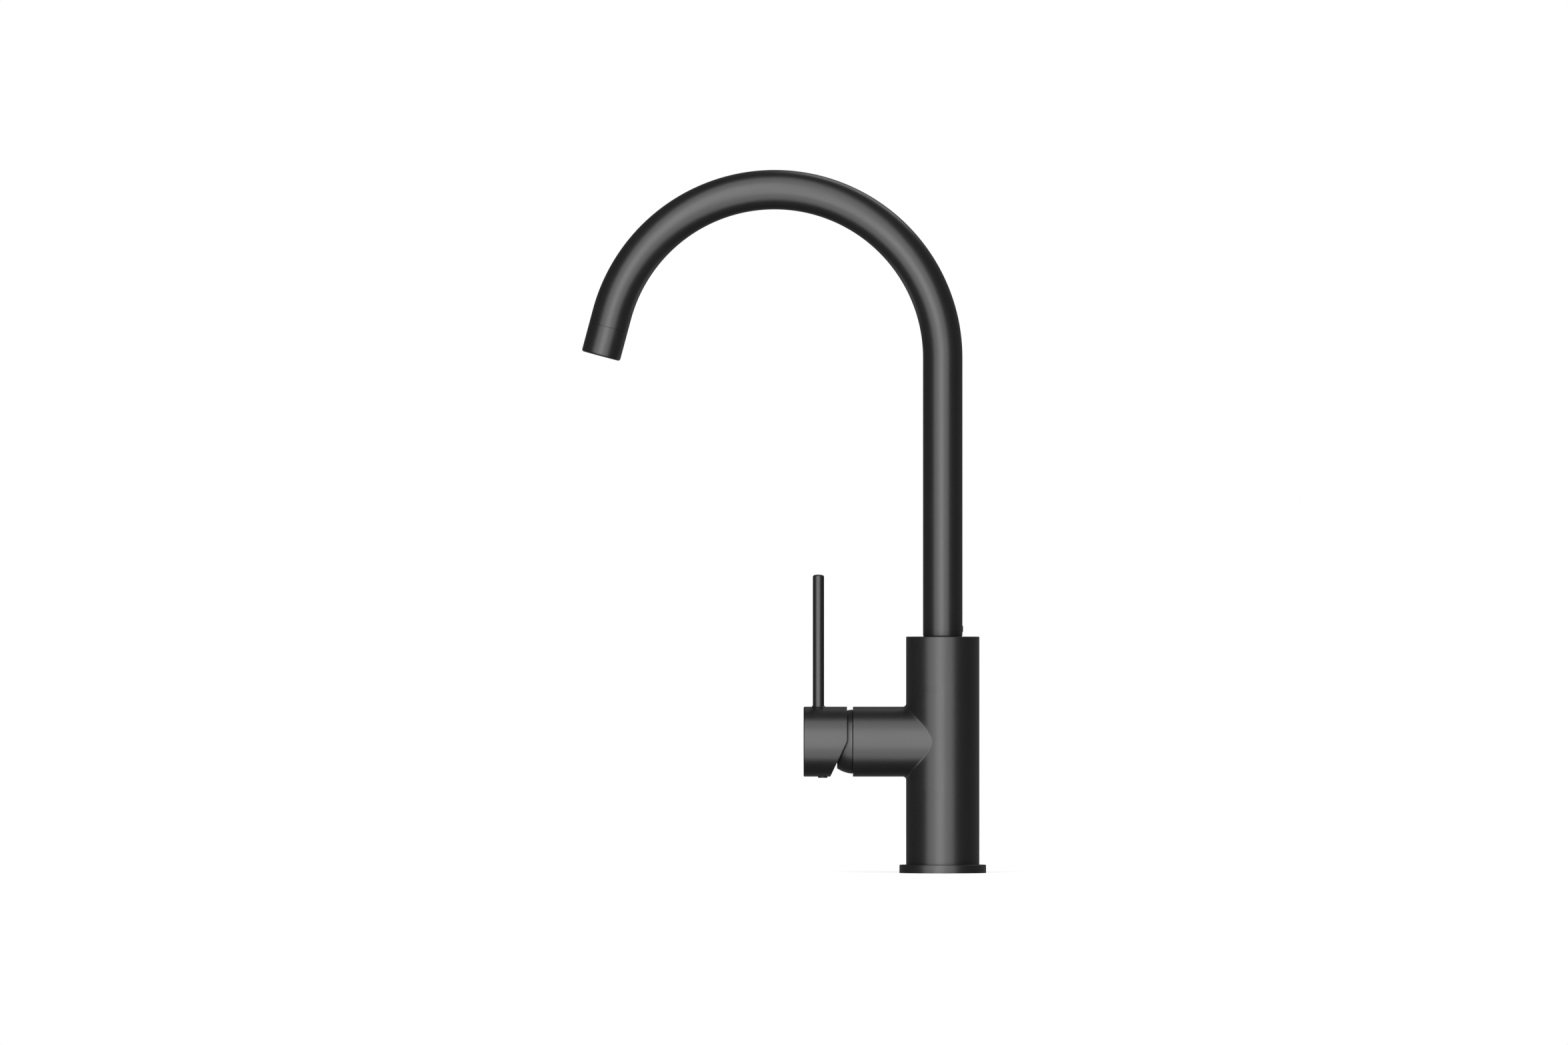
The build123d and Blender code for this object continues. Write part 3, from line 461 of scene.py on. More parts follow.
def mixerBody():
    sizes = dict(columnR=bodyHigh.x, foot=bodyLow.z, top=bodyHigh.z, branchEnd=-bodyLow.x, junction=2.0,
                 margin=8.0, topRound=0.5, endRound=0.3, bayR=18.5, nippleR=11.05, nippleDeep=16.0,
                 threadR=19.0, threadStart=48.0, chamberR=17.6, chamberStart=29.0)
    rows = dict(below=8, above=9)
    # the second of the casting's materials, in its bores
    bare = 1
    skin = Skin()
    place = axes((0, 0, branchZ), (-1, 0, 0), (0, 0, 1))
    reach = branchR + sizes["junction"] + sizes["margin"]
    foot, top = sizes["foot"] - branchZ, sizes["top"] - branchZ
    main = dict(r=sizes["columnR"], halfTurn=radians(90), acrossCount=80, backCount=70, upCount=56,
                below=spread(foot, -reach, rows["below"]),
                above=spread(reach, top - sizes["topRound"], rows["above"]))
    side = dict(r=branchR, fillet=sizes["junction"], end=sizes["branchEnd"] - sizes["endRound"],
                outCount=14, filletCount=9, spreadCount=7)
    tee = teeSkin(skin, place, main, side)
    angles = tee["angles"]
    # top: rounded edge, flat, and the seat of the swivel nipple
    edge = sizes["topRound"]
    end = continued(skin, tee["mainEnds"][1], place, angles,
                    arcSteps(sizes["columnR"] - edge, top - edge, edge, 0, 90)[1:])
    end = continued(skin, end, place, angles, [(sizes["nippleR"], top)])
    end = continued(skin, end, place, angles, [(sizes["nippleR"], top - sizes["nippleDeep"]),
                                               (0, top - sizes["nippleDeep"])], bare)
    # foot: flat rim and the hose bay up to its roof
    roof = ports["roof"] - branchZ
    end = continued(skin, tee["mainEnds"][0], place, angles, [(sizes["bayR"], foot)])
    end = continued(skin, end, place, angles, [(sizes["bayR"], roof)], bare)
    holes = []
    for x, radius, deep in (ports["hose"], ports["stud"]):
        for y in (-ports["apart"], ports["apart"]):
            spot = axes((x, y, ports["roof"]), (1, 0, 0), (0, 0, 1))
            around = fullTurn(ports["sides"])
            mouth = skin.loop(ring(spot, radius, 0, around))
            tip = deep + radius / tan(radians(ports["tipAngle"]))
            continued(skin, mouth, spot, around, [(radius, deep), (0, tip)], bare)
            holes.append(mouth)
    skin.plate(end, holes, bare)
    # branch end: broken edge, face, thread bore and cartridge chamber
    sideTurns = [-turn for turn in tee["turns"]]
    edge, out = sizes["endRound"], sizes["branchEnd"]
    end = continued(skin, tee["sideEnd"], outPlace, sideTurns,
                    arcSteps(branchR - edge, out - edge, edge, 0, 90, 4)[1:])
    end = continued(skin, end, outPlace, sideTurns, [(sizes["threadR"], out)])
    continued(skin, end, outPlace, sideTurns,
              [(sizes["threadR"], sizes["threadStart"]), (sizes["chamberR"], sizes["threadStart"]),
               (sizes["chamberR"], sizes["chamberStart"]), (0, sizes["chamberStart"])], bare)
    return seat(skinPiece("mixerBody", skin, [coat, columnBrass]), "mixer_body", "body")


def threadTree():
    tree, given = nodeGroup("screwThreads", {
        "Radius": "Float", "Length": "Float", "Turns": "Float", "Steps": "Int", "Ridge": "Float",
        "First": "Vector", "Step": "Vector", "Finish": "Material"})
    helix = addNode(tree, "GeometryNodeCurveSpiral", {
        "Resolution": given["Steps"], "Rotations": given["Turns"], "Start Radius": given["Radius"],
        "End Radius": given["Radius"], "Height": given["Length"]})
    level = addNode(tree, "GeometryNodeSetCurveNormal", {"Curve": helix.outputs[0]}, mode="Z_UP")
    # half of the four-sided section lies in the wall, and the other half is the thread's ridge
    section = addNode(tree, "GeometryNodeCurvePrimitiveCircle", {"Resolution": 4, "Radius": given["Ridge"]})
    ridge = addNode(tree, "GeometryNodeCurveToMesh", {
        "Curve": level.outputs[0], "Profile Curve": section.outputs[0], "Fill Caps": True})
    places = addNode(tree, "GeometryNodeMeshLine", {
        "Count": 2, "Start Location": given["First"], "Offset": given["Step"]})
    pair = addNode(tree, "GeometryNodeInstanceOnPoints", {
        "Points": places.outputs[0], "Instance": ridge.outputs[0]})
    finishGroup(tree, pair, given["Finish"])
    return tree


def portThreads():
    thread = dict(pitch=1.0, ridge=0.47, lead=0.8, stepsPerTurn=40)
    tree = threadTree()
    for name, (x, radius, deep) in (("hosePortThreads", ports["hose"]), ("studHoleThreads", ports["stud"])):
        turns = int((deep - 2 * thread["lead"]) / thread["pitch"])
        pair = grown(name, tree, {
            "Radius": radius * mm, "Length": turns * thread["pitch"] * mm, "Turns": float(turns),
            "Steps": thread["stepsPerTurn"], "Ridge": thread["ridge"] * mm,
            "First": Vector((x, -ports["apart"], ports["roof"] + thread["lead"])) * mm,
            "Step": Vector((0, 2 * ports["apart"], 0)) * mm, "Finish": columnBrass})
        seat(smoothed(applied(pair)), "mixer_body")


mixerBody()
portThreads()
print("body ready")


# Base ring and its seal


def baseRing():
    high = boxOf("base_ring")[1]
    sizes = dict(outer=high.x, height=high.z, seatR=23.2, lip=1.5, hole=18.5, topRound=0.5, footRound=0.3,
                 seatRound=0.25, grooveIn=24.2, grooveOut=26.35, grooveDeep=2.05, segments=192)
    outline = roundedOutline([
        (sizes["outer"], 0, sizes["footRound"]), (sizes["outer"], sizes["height"], sizes["topRound"]),
        (sizes["seatR"], sizes["height"], sizes["seatRound"]), (sizes["seatR"], sizes["lip"]),
        (sizes["hole"], sizes["lip"]), (sizes["hole"], 0),
        (sizes["grooveIn"], 0), (sizes["grooveIn"], sizes["grooveDeep"]),
        (sizes["grooveOut"], sizes["grooveDeep"]), (sizes["grooveOut"], 0)])
    piece = turnedPiece("baseRing", outline, columnPlace, sizes["segments"], coat)
    return seat(piece, "mixer_body", "base_ring")


def deckSeal():
    high = boxOf("deck_seal")[1]
    sizes = dict(outer=high.x, inner=24.275, height=high.z, rounding=0.4, segments=160)
    outline = roundedOutline([
        (sizes["outer"], 0, sizes["rounding"]), (sizes["outer"], sizes["height"], sizes["rounding"]),
        (sizes["inner"], sizes["height"], sizes["rounding"]), (sizes["inner"], 0, sizes["rounding"])])
    piece = turnedPiece("deckSeal", outline, columnPlace, sizes["segments"], rubber)
    return seat(piece, "mixer_body", "deck_seal")


def slipWasher():
    low, high = boxOf("slip_washer")
    # lifted until it all but meets the tube, so that no light comes through the seam
    sizes = dict(outer=high.x, width=1.0, rounding=0.12, roundSteps=3, lift=0.048, segments=128)
    inner, top = sizes["outer"] - sizes["width"], high.z + sizes["lift"]
    outline = roundedOutline([
        (sizes["outer"], low.z, sizes["rounding"]), (sizes["outer"], top, sizes["rounding"]),
        (inner, top, sizes["rounding"]), (inner, low.z, sizes["rounding"])], sizes["roundSteps"])
    piece = turnedPiece("slipWasher", outline, columnPlace, sizes["segments"], blackPlastic)
    return seat(piece, "mixer_body", "slip_washer")


baseRing()
deckSeal()
slipWasher()
print("base and washer ready")


# Gooseneck: a riser, an arch and a straight tail in one tube

neck = dict(foot=tubeLow.z, riser=175.0, archR=106.0, sweep=165.0, tail=8.45, tubeR=tubeHigh.y, wall=1.5,
            bendSteps=240, rings=190, sides=112)


def neckAlong(angle):
    # direction of the tube where it has turned by this angle
    return Vector((-sin(radians(angle)), 0, cos(radians(angle))))


# the arch is two equal bends, each drawn as a corner that is then rounded
cornerRun = neck["archR"] * tan(radians(neck["sweep"] / 4))
neckFoot = Vector((0, 0, neck["foot"]))
overRiser = neckFoot + neckAlong(0) * (neck["riser"] + cornerRun)
overOutlet = overRiser + neckAlong(neck["sweep"] / 2) * (2 * cornerRun)
tailAlong = neckAlong(neck["sweep"])
seam = overOutlet + tailAlong * (cornerRun + neck["tail"])
outletPlace = axes(seam, Vector((0, 1, 0)).cross(tailAlong), tailAlong)


def gooseneckTree():
    tree, given = nodeGroup("gooseneckSweep", {
        "Foot": "Vector", "Over Riser": "Vector", "Over Outlet": "Vector", "Outlet": "Vector",
        "Bend Radius": "Float", "Bend Steps": "Int", "Tube Radius": "Float", "Rings": "Int", "Sides": "Int",
        "Finish": "Material"})
    corners = addNode(tree, "GeometryNodeCurvePrimitiveQuadrilateral", {
        "Point 1": given["Foot"], "Point 2": given["Over Riser"], "Point 3": given["Over Outlet"],
        "Point 4": given["Outlet"]}, mode="POINTS")
    opened = addNode(tree, "GeometryNodeSetSplineCyclic", {0: corners.outputs[0], "Cyclic": False})
    bent = addNode(tree, "GeometryNodeFilletCurve", {
        "Curve": opened.outputs[0], "Radius": given["Bend Radius"],
        "Count": given["Bend Steps"]}, mode="POLY")
    route = addNode(tree, "GeometryNodeResampleCurve", {"Curve": bent.outputs[0], "Count": given["Rings"]})
    section = addNode(tree, "GeometryNodeCurvePrimitiveCircle", {
        "Resolution": given["Sides"], "Radius": given["Tube Radius"]})
    tube = addNode(tree, "GeometryNodeCurveToMesh", {
        "Curve": route.outputs[0], "Profile Curve": section.outputs[0]})
    finishGroup(tree, tube, given["Finish"])
    return tree


def gooseneck():
    edge = dict(width=0.1, segments=3, sharpAngle=60)
    tube = grown("gooseneckTube", gooseneckTree(), {
        "Foot": neckFoot * mm, "Over Riser": overRiser * mm, "Over Outlet": overOutlet * mm,
        "Outlet": seam * mm, "Bend Radius": neck["archR"] * mm, "Bend Steps": neck["bendSteps"],
        "Tube Radius": neck["tubeR"] * mm, "Rings": neck["rings"], "Sides": neck["sides"], "Finish": coat})
    applied(tube)
    build = bmesh.new()
    build.from_mesh(tube.data)
    bmesh.ops.recalc_face_normals(build, faces=build.faces)
    # the sweep is open, so the faces are turned to point away from the tube's own middle
    face = min(build.faces, key=lambda f: f.calc_center_median().z)
    if face.normal.dot(face.calc_center_median() * Vector((1, 1, 0))) < 0:
        bmesh.ops.reverse_faces(build, faces=build.faces)
    build.to_mesh(tube.data)
    build.free()
    wall = tube.modifiers.new("wall", "SOLIDIFY")
    wall.thickness, wall.offset = neck["wall"] * mm, -1
    broken = tube.modifiers.new("brokenEdges", "BEVEL")
    broken.width, broken.segments, broken.limit_method = edge["width"] * mm, edge["segments"], "ANGLE"
    broken.angle_limit = radians(edge["sharpAngle"])
    smoothed(applied(tube))
    return seat(tube, "spout", "spout_tube")


gooseneck()
print("gooseneck ready")


# Lock screw at the back of the tube, with a hexagon socket


def socketScrew(name, place, sizes, material):
    # place: z out of the head, origin at the middle of its face
    around = fullTurn(sizes["segments"])
    skin = Skin()
    outer = skin.loop(ring(place, sizes["r"], -sizes["length"], around))
    tip = skin.loop([place @ Vector((0, 0, -sizes["length"]))])
    skin.bridge(tip, outer)
    edge = sizes["edge"]
    end = continued(skin, outer, place, around, arcSteps(sizes["r"] - edge, -edge, edge, 0, 90, 4))
    # socket: a chamfered hexagonal mouth, straight walls and a pointed floor
    flat, chamfer = sizes["flats"] / 2, sizes["chamfer"]

    def hexagonRing(grow, height):
        radii = [flat * grow / cos(a % (pi / 3) - pi / 6) for a in around]
        return [ring(place, radius, height, [a])[0] for radius, a in zip(radii, around)]

    for grow, height in ((1 + chamfer, 0), (1, -chamfer * flat), (1, -sizes["deep"])):
        fresh = skin.loop(hexagonRing(grow, height))
        skin.bridge(end, fresh)
        end = fresh
    floor = skin.loop([place @ Vector((0, 0, -sizes["deep"] - flat / 2))])
    skin.bridge(end, floor)
    return skinPiece(name, skin, [material])


def lockScrew():
    low, high = boxOf("spout_lock_screw")
    # the chamfer is a share of the socket's half width
    sizes = dict(r=high.y, length=high.x - low.x, edge=0.25, flats=2.0, deep=1.8, chamfer=0.06, segments=48)
    place = axes((high.x, 0, (low.z + high.z) / 2), (0, 0, 1), (1, 0, 0))
    screw = socketScrew("lockScrew", place, sizes, blackSteel)
    return seat(screw, "spout", "spout_lock_screw")


lockScrew()


# Aerator collar and its honeycomb screen

# lengths are from the tube's end, which the collar's lip all but touches behind the chamfer in the seam
outletEnd = dict(seam=0.15, lipR=12.35, lipGap=0.005, length=18.8, r=neck["tubeR"], bore=10.3, opening=8.6,
                 openingRound=0.35, endWall=1.5, endRound=1.4, screenR=8.9, screenRim=0.6, screenFrom=14.8,
                 screenThick=2.4, segments=144)


def aeratorCollar():
    end = outletEnd
    floor = end["length"] - end["endWall"]
    outline = roundedOutline([
        (end["r"], end["seam"]), (end["r"], end["length"], end["endRound"]),
        (end["opening"], end["length"], end["openingRound"]), (end["opening"], floor), (end["bore"], floor),
        (end["bore"], end["lipGap"]), (end["lipR"], end["lipGap"])])
    piece = turnedPiece("aeratorCollar", outline, outletPlace, end["segments"], coat)
    return seat(piece, "spout", "aerator_collar")


def honeycombTree():
    tree, given = nodeGroup("honeycomb", {
        "Width": "Float", "Depth": "Float", "Count": "Int", "Slant": "Float", "Reach": "Float",
        "Rim": "Float", "Open Share": "Float", "Finish": "Material"})
    grid = addNode(tree, "GeometryNodeMeshGrid", {
        "Size X": given["Width"], "Size Y": given["Depth"], "Vertices X": given["Count"],
        "Vertices Y": given["Count"]})
    spot = addNode(tree, "GeometryNodeInputPosition").outputs[0]
    # each row stands half a cell on from the last, so the points make even triangles, and those make cells
    across = addNode(tree, "ShaderNodeSeparateXYZ", {"Vector": spot})
    lean = addNode(tree, "ShaderNodeMath", {
        0: across.outputs["Y"], 1: given["Slant"]}, operation="MULTIPLY")
    shift = addNode(tree, "ShaderNodeCombineXYZ", {"X": lean.outputs[0]})
    rows = addNode(tree, "GeometryNodeSetPosition", {
        "Geometry": grid.outputs["Mesh"], "Offset": shift.outputs[0]})
    threes = addNode(tree, "GeometryNodeTriangulate", {
        "Mesh": rows.outputs[0]}, quad_method="SHORTEST_DIAGONAL")
    cells = addNode(tree, "GeometryNodeDualMesh", {"Mesh": threes.outputs[0]})
    away = addNode(tree, "ShaderNodeVectorMath", {0: spot}, operation="LENGTH").outputs["Value"]
    outside = addNode(tree, "FunctionNodeCompare", {
        "A": away, "B": given["Reach"]}, operation="GREATER_THAN")
    kept = addNode(tree, "GeometryNodeDeleteGeometry", {
        "Geometry": cells.outputs[0], "Selection": outside.outputs[0]}, domain="FACE")
    # corners past the rim are drawn in to it, which leaves part cells along it
    share = addNode(tree, "ShaderNodeMath", {0: given["Rim"], 1: away}, operation="DIVIDE")
    most = addNode(tree, "ShaderNodeMath", {0: share.outputs[0], 1: 1.0}, operation="MINIMUM")
    inward = addNode(tree, "ShaderNodeVectorMath", {0: spot, "Scale": most.outputs[0]}, operation="SCALE")
    trimmed = addNode(tree, "GeometryNodeSetPosition", {
        "Geometry": kept.outputs[0], "Position": inward.outputs[0]})
    # each cell is opened, and its walls stay
    inset = addNode(tree, "GeometryNodeExtrudeMesh", {"Mesh": trimmed.outputs[0], "Offset Scale": 0.0})
    holes = addNode(tree, "GeometryNodeScaleElements", {
        "Geometry": inset.outputs["Mesh"], "Selection": inset.outputs["Top"], "Scale": given["Open Share"]})
    walls = addNode(tree, "GeometryNodeDeleteGeometry", {
        "Geometry": holes.outputs[0], "Selection": inset.outputs["Top"]}, domain="FACE")
    finishGroup(tree, walls, given["Finish"])
    return tree


def aeratorScreen():
    # past: how far outside the rim's bore the middle of a kept cell may lie, as a share of the pitch
    sizes = dict(pitch=1.9, wall=0.35, count=19, recess=0.1, past=0.2, rimRound=0.15, boreRound=0.1,
                 roundSteps=3, segments=96)
    end = outletEnd
    rimIn = end["screenR"] - end["screenRim"]
    width = sizes["pitch"] * (sizes["count"] - 1)
    screen = grown("aeratorScreen", honeycombTree(), {
        "Width": width * mm, "Depth": width * cos(pi / 6) * mm, "Count": sizes["count"],
        "Slant": tan(pi / 6), "Reach": (rimIn + sizes["pitch"] * sizes["past"]) * mm,
        "Rim": (end["screenR"] - end["screenRim"] / 2) * mm,
        "Open Share": 1 - sizes["wall"] / sizes["pitch"], "Finish": greyPlastic})
    applied(screen)
    thick = screen.modifiers.new("thickness", "SOLIDIFY")
    thick.thickness, thick.offset = (end["screenThick"] - 2 * sizes["recess"]) * mm, 0
    smoothed(applied(screen))
    lift = outletPlace @ Matrix.Translation((0, 0, end["screenFrom"] + end["screenThick"] / 2))
    lift.translation *= mm
    screen.data.transform(lift)
    back, front = end["screenFrom"], end["screenFrom"] + end["screenThick"]
    outline = roundedOutline([
        (end["screenR"], back, sizes["rimRound"]), (end["screenR"], front, sizes["rimRound"]),
        (rimIn, front, sizes["boreRound"]), (rimIn, back, sizes["boreRound"])], sizes["roundSteps"])
    rim = turnedPiece("screenRim", outline, outletPlace, sizes["segments"], greyPlastic)
    build = bmesh.new()
    build.from_mesh(screen.data)
    build.from_mesh(rim.data)
    build.to_mesh(screen.data)
    build.free()
    bpy.data.objects.remove(rim)
    return seat(screen, "spout", "aerator_screen")


aeratorCollar()
aeratorScreen()
print("outlet ready")


# Domed cover between the branch and the hub


def domeCover():
    low, high = boxOf("dome_cover")
    sizes = dict(r=20.3, centre=-pivot.x, rear=57.0, front=-low.x, spigotR=18.9, spigotFrom=-high.x,
                 boreR=16.0, opening=13.5, openingRound=0.3, lip=1.5, lipRound=0.4,
                 seatR=19.7, seatGap=0.005, arcSteps=40, segments=160)
    start = asin((sizes["rear"] - sizes["centre"]) / sizes["r"])
    end = asin((sizes["front"] - sizes["centre"]) / sizes["r"])
    arc = [(sizes["r"] * cos(angle), sizes["centre"] + sizes["r"] * sin(angle))
           for angle in spread(start, end, sizes["arcSteps"])]
    inner = sizes["front"] - sizes["lip"]
    # a chamfer leads from the back of the arc to a seat that all but touches the branch
    seatAt = sizes["seatGap"] - bodyLow.x
    outline = arc[:-1] + roundedOutline([
        (*arc[-1], sizes["lipRound"]), (sizes["opening"], sizes["front"], sizes["openingRound"]),
        (sizes["opening"], inner), (sizes["boreR"], inner), (sizes["boreR"], sizes["spigotFrom"]),
        (sizes["spigotR"], sizes["spigotFrom"]), (sizes["spigotR"], seatAt), (sizes["seatR"], seatAt),
        arc[-2]])[:-1]
    piece = turnedPiece("domeCover", outline, outPlace, sizes["segments"], coat)
    return seat(piece, "mixer_body", "dome_cover")


domeCover()


# Handle: hub with a rim that slants away below, pin lever and plug


def handleHub():
    sizes = dict(r=branchR, rim=60.3, end=-hubLow.x, endRound=0.8, cavityR=20.55, cavityEnd=72.97,
                 cutHeight=0.5, cutAngle=25.0, rimRound=0.12, rimSteps=4, straight=72.0, wallRows=4,
                 lever=78.3, leverR=3.58, boss=1.2, margin=0.9)
    skin = Skin()
    place = axes((-sizes["lever"], 0, branchZ), (0, 0, 1), (-1, 0, 0))
    bossTop = hubHigh.z - branchZ
    edge = sizes["endRound"]
    start, end = sizes["straight"] - sizes["lever"], sizes["end"] - edge - sizes["lever"]
    half = sizes["leverR"] + sizes["boss"] + sizes["margin"]
    main = dict(r=sizes["r"], halfTurn=radians(24), acrossCount=24, backCount=134, upCount=24,
                below=[start, -half], above=[half, end])
    side = dict(r=sizes["leverR"], fillet=sizes["boss"], end=bossTop,
                outCount=2, filletCount=8, spreadCount=5)
    tee = teeSkin(skin, place, main, side)
    angles = tee["angles"]
    top = skin.loop([place @ Vector((bossTop, 0, 0))])
    skin.bridge(tee["sideEnd"], top)
    # end face
    tail = continued(skin, tee["mainEnds"][1], outPlace, angles,
                     arcSteps(sizes["r"] - edge, sizes["end"] - edge, edge, 0, 90)[1:])
    continued(skin, tail, outPlace, angles, [(sizes["r"] / 2, sizes["end"]), (0, sizes["end"])])

    # rim: square above the axis, and slanted away from the branch below it
    def rimAt(radius, angle):
        below = max(0.0, sizes["cutHeight"] - radius * cos(angle))
        return sizes["rim"] + below * tan(radians(sizes["cutAngle"]))

    def rimLoop(radius, step):
        return skin.loop([ring(outPlace, radius, rimAt(radius, a) + step, [a])[0] for a in angles])

    bevel, r, inner = sizes["rimRound"], sizes["r"], sizes["cavityR"]
    loops = [tee["mainEnds"][0]]
    for share in spread(0, 1, sizes["wallRows"])[1:-1]:
        loops.append(skin.loop([
            ring(outPlace, r, sizes["straight"] + (rimAt(r, a) + bevel - sizes["straight"]) * share, [a])[0]
            for a in angles]))
    quarter = [radians(turn) for turn in spread(0, 90, sizes["rimSteps"])]
    for turn in quarter:
        loops.append(rimLoop(r - bevel + bevel * cos(turn), bevel - bevel * sin(turn)))
    for turn in reversed(quarter):
        loops.append(rimLoop(inner + bevel - bevel * cos(turn), bevel - bevel * sin(turn)))
    loops.append(skin.loop(ring(outPlace, inner, sizes["straight"], angles)))
    for one, two in zip(loops, loops[1:]):
        skin.bridge(one, two)
    continued(skin, loops[-1], outPlace, angles,
              [(inner, sizes["cavityEnd"]), (inner / 2, sizes["cavityEnd"]), (0, sizes["cavityEnd"])])
    return seat(skinPiece("handleHub", skin, [coat]), "handle", "handle_hub")


def pinLever():
    low, high = boxOf("lever")
    sizes = dict(r=high.y, foot=hubHigh.z, top=high.z, crown=0.48, crownTo=2.3, crownRound=1.4,
                 crownSteps=8, tenonR=2.5, tenonFoot=low.z, segments=72)
    # a shallow crown, met by a rounded edge
    ballR = (sizes["r"] ** 2 + sizes["crown"] ** 2) / (2 * sizes["crown"])
    crown = [(ballR * sin(a), sizes["top"] - ballR + ballR * cos(a))
             for a in spread(0, asin(sizes["crownTo"] / ballR), sizes["crownSteps"])]
    outline = crown[:-1] + roundedOutline([
        crown[-1], (sizes["r"], sizes["top"] - sizes["crown"], sizes["crownRound"]),
        (sizes["r"], sizes["foot"]), (sizes["tenonR"], sizes["foot"]),
        (sizes["tenonR"], sizes["tenonFoot"]), (0, sizes["tenonFoot"])], sizes["crownSteps"])
    piece = turnedPiece("pinLever", outline, uprightAt(low, high), sizes["segments"], coat)
    return seat(piece, "handle", "lever")


def hubPlug():
    low, high = boxOf("hub_plug")
    # the crown bends at a share of the radius, where it has risen by a share of its height
    sizes = dict(r=high.y, top=high.z, foot=low.z, edge=0.3, crown=0.06, bendAt=0.7, bendRise=0.3,
                 segments=64)
    foot, crown = sizes["foot"], sizes["crown"]
    outline = roundedOutline([
        (0, foot), (sizes["r"] * sizes["bendAt"], foot + crown * sizes["bendRise"]),
        (sizes["r"], foot + crown, sizes["edge"]), (sizes["r"], sizes["top"]), (0, sizes["top"])])
    piece = turnedPiece("hubPlug", outline, uprightAt(low, high), sizes["segments"], blackPlastic)
    return seat(piece, "handle", "hub_plug")


handleHub()
pinLever()
hubPlug()
print("handle ready")


# Inner pieces keep their CAD shapes and get their real finish

innerFinish = {
    columnBrass: ["swivel_nipple", "spout_sleeve", "outlet_nipple"],
    branchBrass: ["retaining_nut", "stem"],
    stainless: ["pivot_pin", "hub_grub_screw"],
    rubber: ["nipple_seal", "swivel_o_rings", "aerator_washer", "base_port_seals", "disc_port_seals"],
    acetal: ["glide_rings", "cartridge_base", "cartridge_housing", "disc_carrier", "rotor"],
    greyPlastic: ["aerator_cage"],
    ceramic: ["fixed_disc", "moving_disc"],
}
for finish, names in innerFinish.items():
    for name in names:
        node = frame["nodes"][name]
        node.data.materials.clear()
        node.data.materials.append(finish)
print("inner pieces finished")


# Stage: white floor and world, and a dark tent that only reflections see, whose cloth glows dimly as
# painted light


def whiteRays(tree):
    # 1 for rays that should see the white background: from the camera, in gloss and through glass
    rays = addNode(tree, "ShaderNodeLightPath").outputs
    sharp = addNode(tree, "ShaderNodeMath", {0: rays["Is Camera Ray"], 1: rays["Is Glossy Ray"]},
                    operation="MAXIMUM").outputs[0]
    return addNode(tree, "ShaderNodeMath", {0: sharp, 1: rays["Is Transmission Ray"]},
                   operation="MAXIMUM").outputs[0]


def whiteWorld():
    look = dict(white=1.0, fill=0.35)
    world = bpy.data.worlds.new("whiteStudio")
    scene.world = world
    world.use_nodes = True
    tree = world.node_tree
    tree.nodes.clear()
    strength = addNode(tree, "ShaderNodeMapRange", {
        "Value": whiteRays(tree), "To Min": look["fill"], "To Max": look["white"]})
    sky = addNode(tree, "ShaderNodeBackground", {
        "Color": hexColour("#ffffff"), "Strength": strength.outputs["Result"]})
    addNode(tree, "ShaderNodeOutputWorld", {"Surface": sky.outputs[0]})


def discMesh(name, radius, height, sides):
    mesh = bpy.data.meshes.new(name)
    mesh.from_pydata([(radius * cos(a), radius * sin(a), height) for a in fullTurn(sides)], [],
                     [list(range(sides))])
    return mesh


def whiteFloor():
    look = dict(radius=2.5, sides=96, colour="#f0f0f0", lift=0.45)
    material, tree = newMaterial("matteWhiteFloor")
    matte = addNode(tree, "ShaderNodeBsdfDiffuse", {"Color": hexColour(look["colour"])})
    lift = addNode(tree, "ShaderNodeMath", {0: whiteRays(tree), 1: look["lift"]}, operation="MULTIPLY")
    glow = addNode(tree, "ShaderNodeEmission", {"Strength": lift.outputs[0]})
    both = addNode(tree, "ShaderNodeAddShader", {0: matte.outputs[0], 1: glow.outputs[0]})
    finishMaterial(tree, both)
    floor = toObject("floor", discMesh("floor", look["radius"], 0.0, look["sides"]), [material])
    # gloss looks past the floor, to the tent and to the part of the lights that is below it
    floor.visible_glossy = False
    # light from that part comes up through the floor
    floor.visible_shadow = False


# glow strengths of the tent, painted light: at the sides, at the back, low down and in the panels
tent = dict(radius=45.0, side=0.05, back=0.15, glowTowards=(0.26, 0.966, 0), glowFrom=0.25, low=0.024,
            lowBelow=-48.0, rows=30, columns=60, panel=0.42, panelAcross=(34, 62), panelUp=(-31, -10))


def tentCloth(name, side, back):
    # cloth that glows instead of being lit, a painted glow that grows brighter towards the back of the set
    material, tree = newMaterial(name)
    spot = addNode(tree, "ShaderNodeTexCoord").outputs["Object"]
    depth = addNode(tree, "ShaderNodeVectorMath", {
        0: spot, 1: tent["glowTowards"]}, operation="DOT_PRODUCT")
    shade = addNode(tree, "ShaderNodeMapRange", {
        "Value": depth.outputs["Value"], "From Min": tent["glowFrom"] * tent["radius"],
        "From Max": tent["radius"], "To Min": side, "To Max": back})
    finishMaterial(tree, addNode(tree, "ShaderNodeEmission", {"Strength": shade.outputs["Result"]}))
    return material


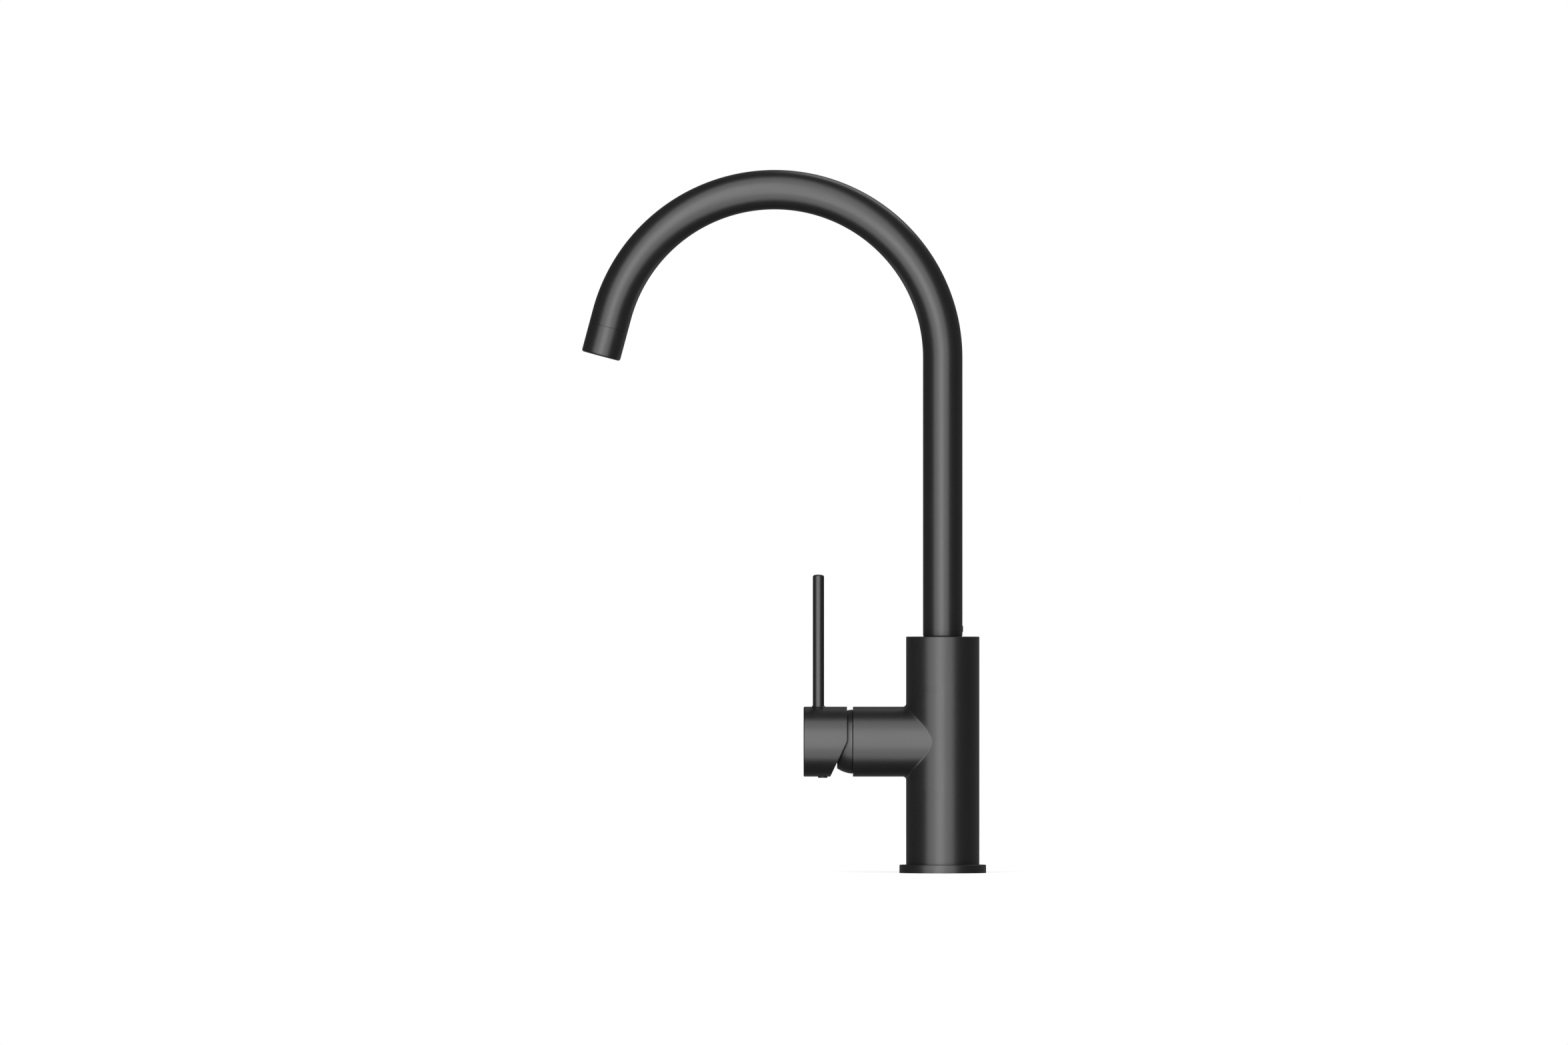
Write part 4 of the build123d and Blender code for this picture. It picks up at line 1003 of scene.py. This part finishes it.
def darkTent():
    # keeps the sides of the coat dark, as in the photograph
    # two brighter glowing panels low at the back, painted light in place of lamps, show the coat's form
    # from behind
    cloth, floorCloth, panel = range(3)
    cloths = [tentCloth("dimGlowCloth", tent["side"], tent["back"]),
              tentCloth("dimGlowFloorCloth", tent["low"], tent["low"]),
              tentCloth("glowingPanel", tent["panel"], tent["panel"])]
    rows = spread(-90, 90, tent["rows"])
    turns = spread(0, 360, tent["columns"])[:-1]
    halfRow, halfColumn = 90 / tent["rows"], 180 / tent["columns"]
    skin = Skin()
    loops = [skin.loop(ring(Matrix.Identity(4), tent["radius"] * cos(radians(row)) / mm,
                            tent["radius"] * sin(radians(row)) / mm, [radians(turn) for turn in turns]))
             for row in rows]

    def clothAt(row, turn):
        awayFromBack = abs(turn + halfColumn - 90)
        if tent["panelAcross"][0] < awayFromBack < tent["panelAcross"][1]:
            if tent["panelUp"][0] < row + halfRow < tent["panelUp"][1]:
                return panel
        return floorCloth if row < tent["lowBelow"] else cloth

    for row, one, two in zip(rows, loops, loops[1:]):
        for i, turn in enumerate(turns):
            n = (i + 1) % len(turns)
            skin.face([one[i], one[n], two[n], two[i]], clothAt(row, turn))
    shell = skinPiece("darkTent", skin, cloths)
    for rays in ("camera", "diffuse", "transmission", "shadow", "volume_scatter"):
        setattr(shell, "visible_" + rays, False)


whiteWorld()
whiteFloor()
darkTent()


# Camera: level with the object and so far away that its edges stay parallel, as in the photograph

view = dict(distance=20.0, middleX=-0.1000, middleZ=0.2209, frameWidth=0.98784, sensor=36.0)
camera = bpy.data.objects.new("camera", bpy.data.cameras.new("camera"))
camera.data.sensor_width = view["sensor"]
camera.data.lens = view["sensor"] * view["distance"] / view["frameWidth"]
camera.data.clip_end = 4 * view["distance"]
camera.location = (view["middleX"], -view["distance"], view["middleZ"])
camera.rotation_euler = (radians(90), 0, 0)
scene.collection.objects.link(camera)
scene.camera = camera


# Lights: flat softboxes, given by the angles that they fill as seen from the object


def softbox(name, facing, distance, across, upward, bright):
    # facing: the middle of the set, the panel's right and the way from the set to it
    # bright: the radiance of the panel's face
    data = bpy.data.lights.new(name, "AREA")
    left, right = (distance * tan(radians(angle)) for angle in across)
    low, high = (distance * tan(radians(angle)) for angle in upward)
    data.shape, data.size, data.size_y = "RECTANGLE", right - left, high - low
    data.energy = bright * pi * data.size * data.size_y
    lamp = bpy.data.objects.new(name, data)
    place = axes(facing["middle"], facing["right"], facing["back"])
    lamp.matrix_world = place @ Matrix.Translation(((left + right) / 2, (low + high) / 2, distance))
    lamp.visible_camera = False
    scene.collection.objects.link(lamp)


setMiddle = (view["middleX"], 0, view["middleZ"])
front = dict(middle=setMiddle, right=(1, 0, 0), back=(0, -1, 0))
# over the far right shoulder of the set: how far it is turned from the vertical, and raised from the level
rimTurn, rimRise = radians(25), radians(51)
rearTop = dict(middle=setMiddle, right=(-cos(rimTurn), 0, sin(rimTurn)), back=(
    sin(rimTurn) * sin(rimRise), cos(rimRise), cos(rimTurn) * sin(rimRise)))
softbox("keySoftbox", front, distance=6.0, across=(-51.5, 35), upward=(-60.5, 76), bright=1.38)
softbox("keyCore", front, distance=5.9, across=(-20.5, 4.5), upward=(-23, 41), bright=1.3)
softbox("topStrip", rearTop, distance=6.0, across=(-15.5, 15.5), upward=(-10, 10), bright=1.26)
print("stage ready")
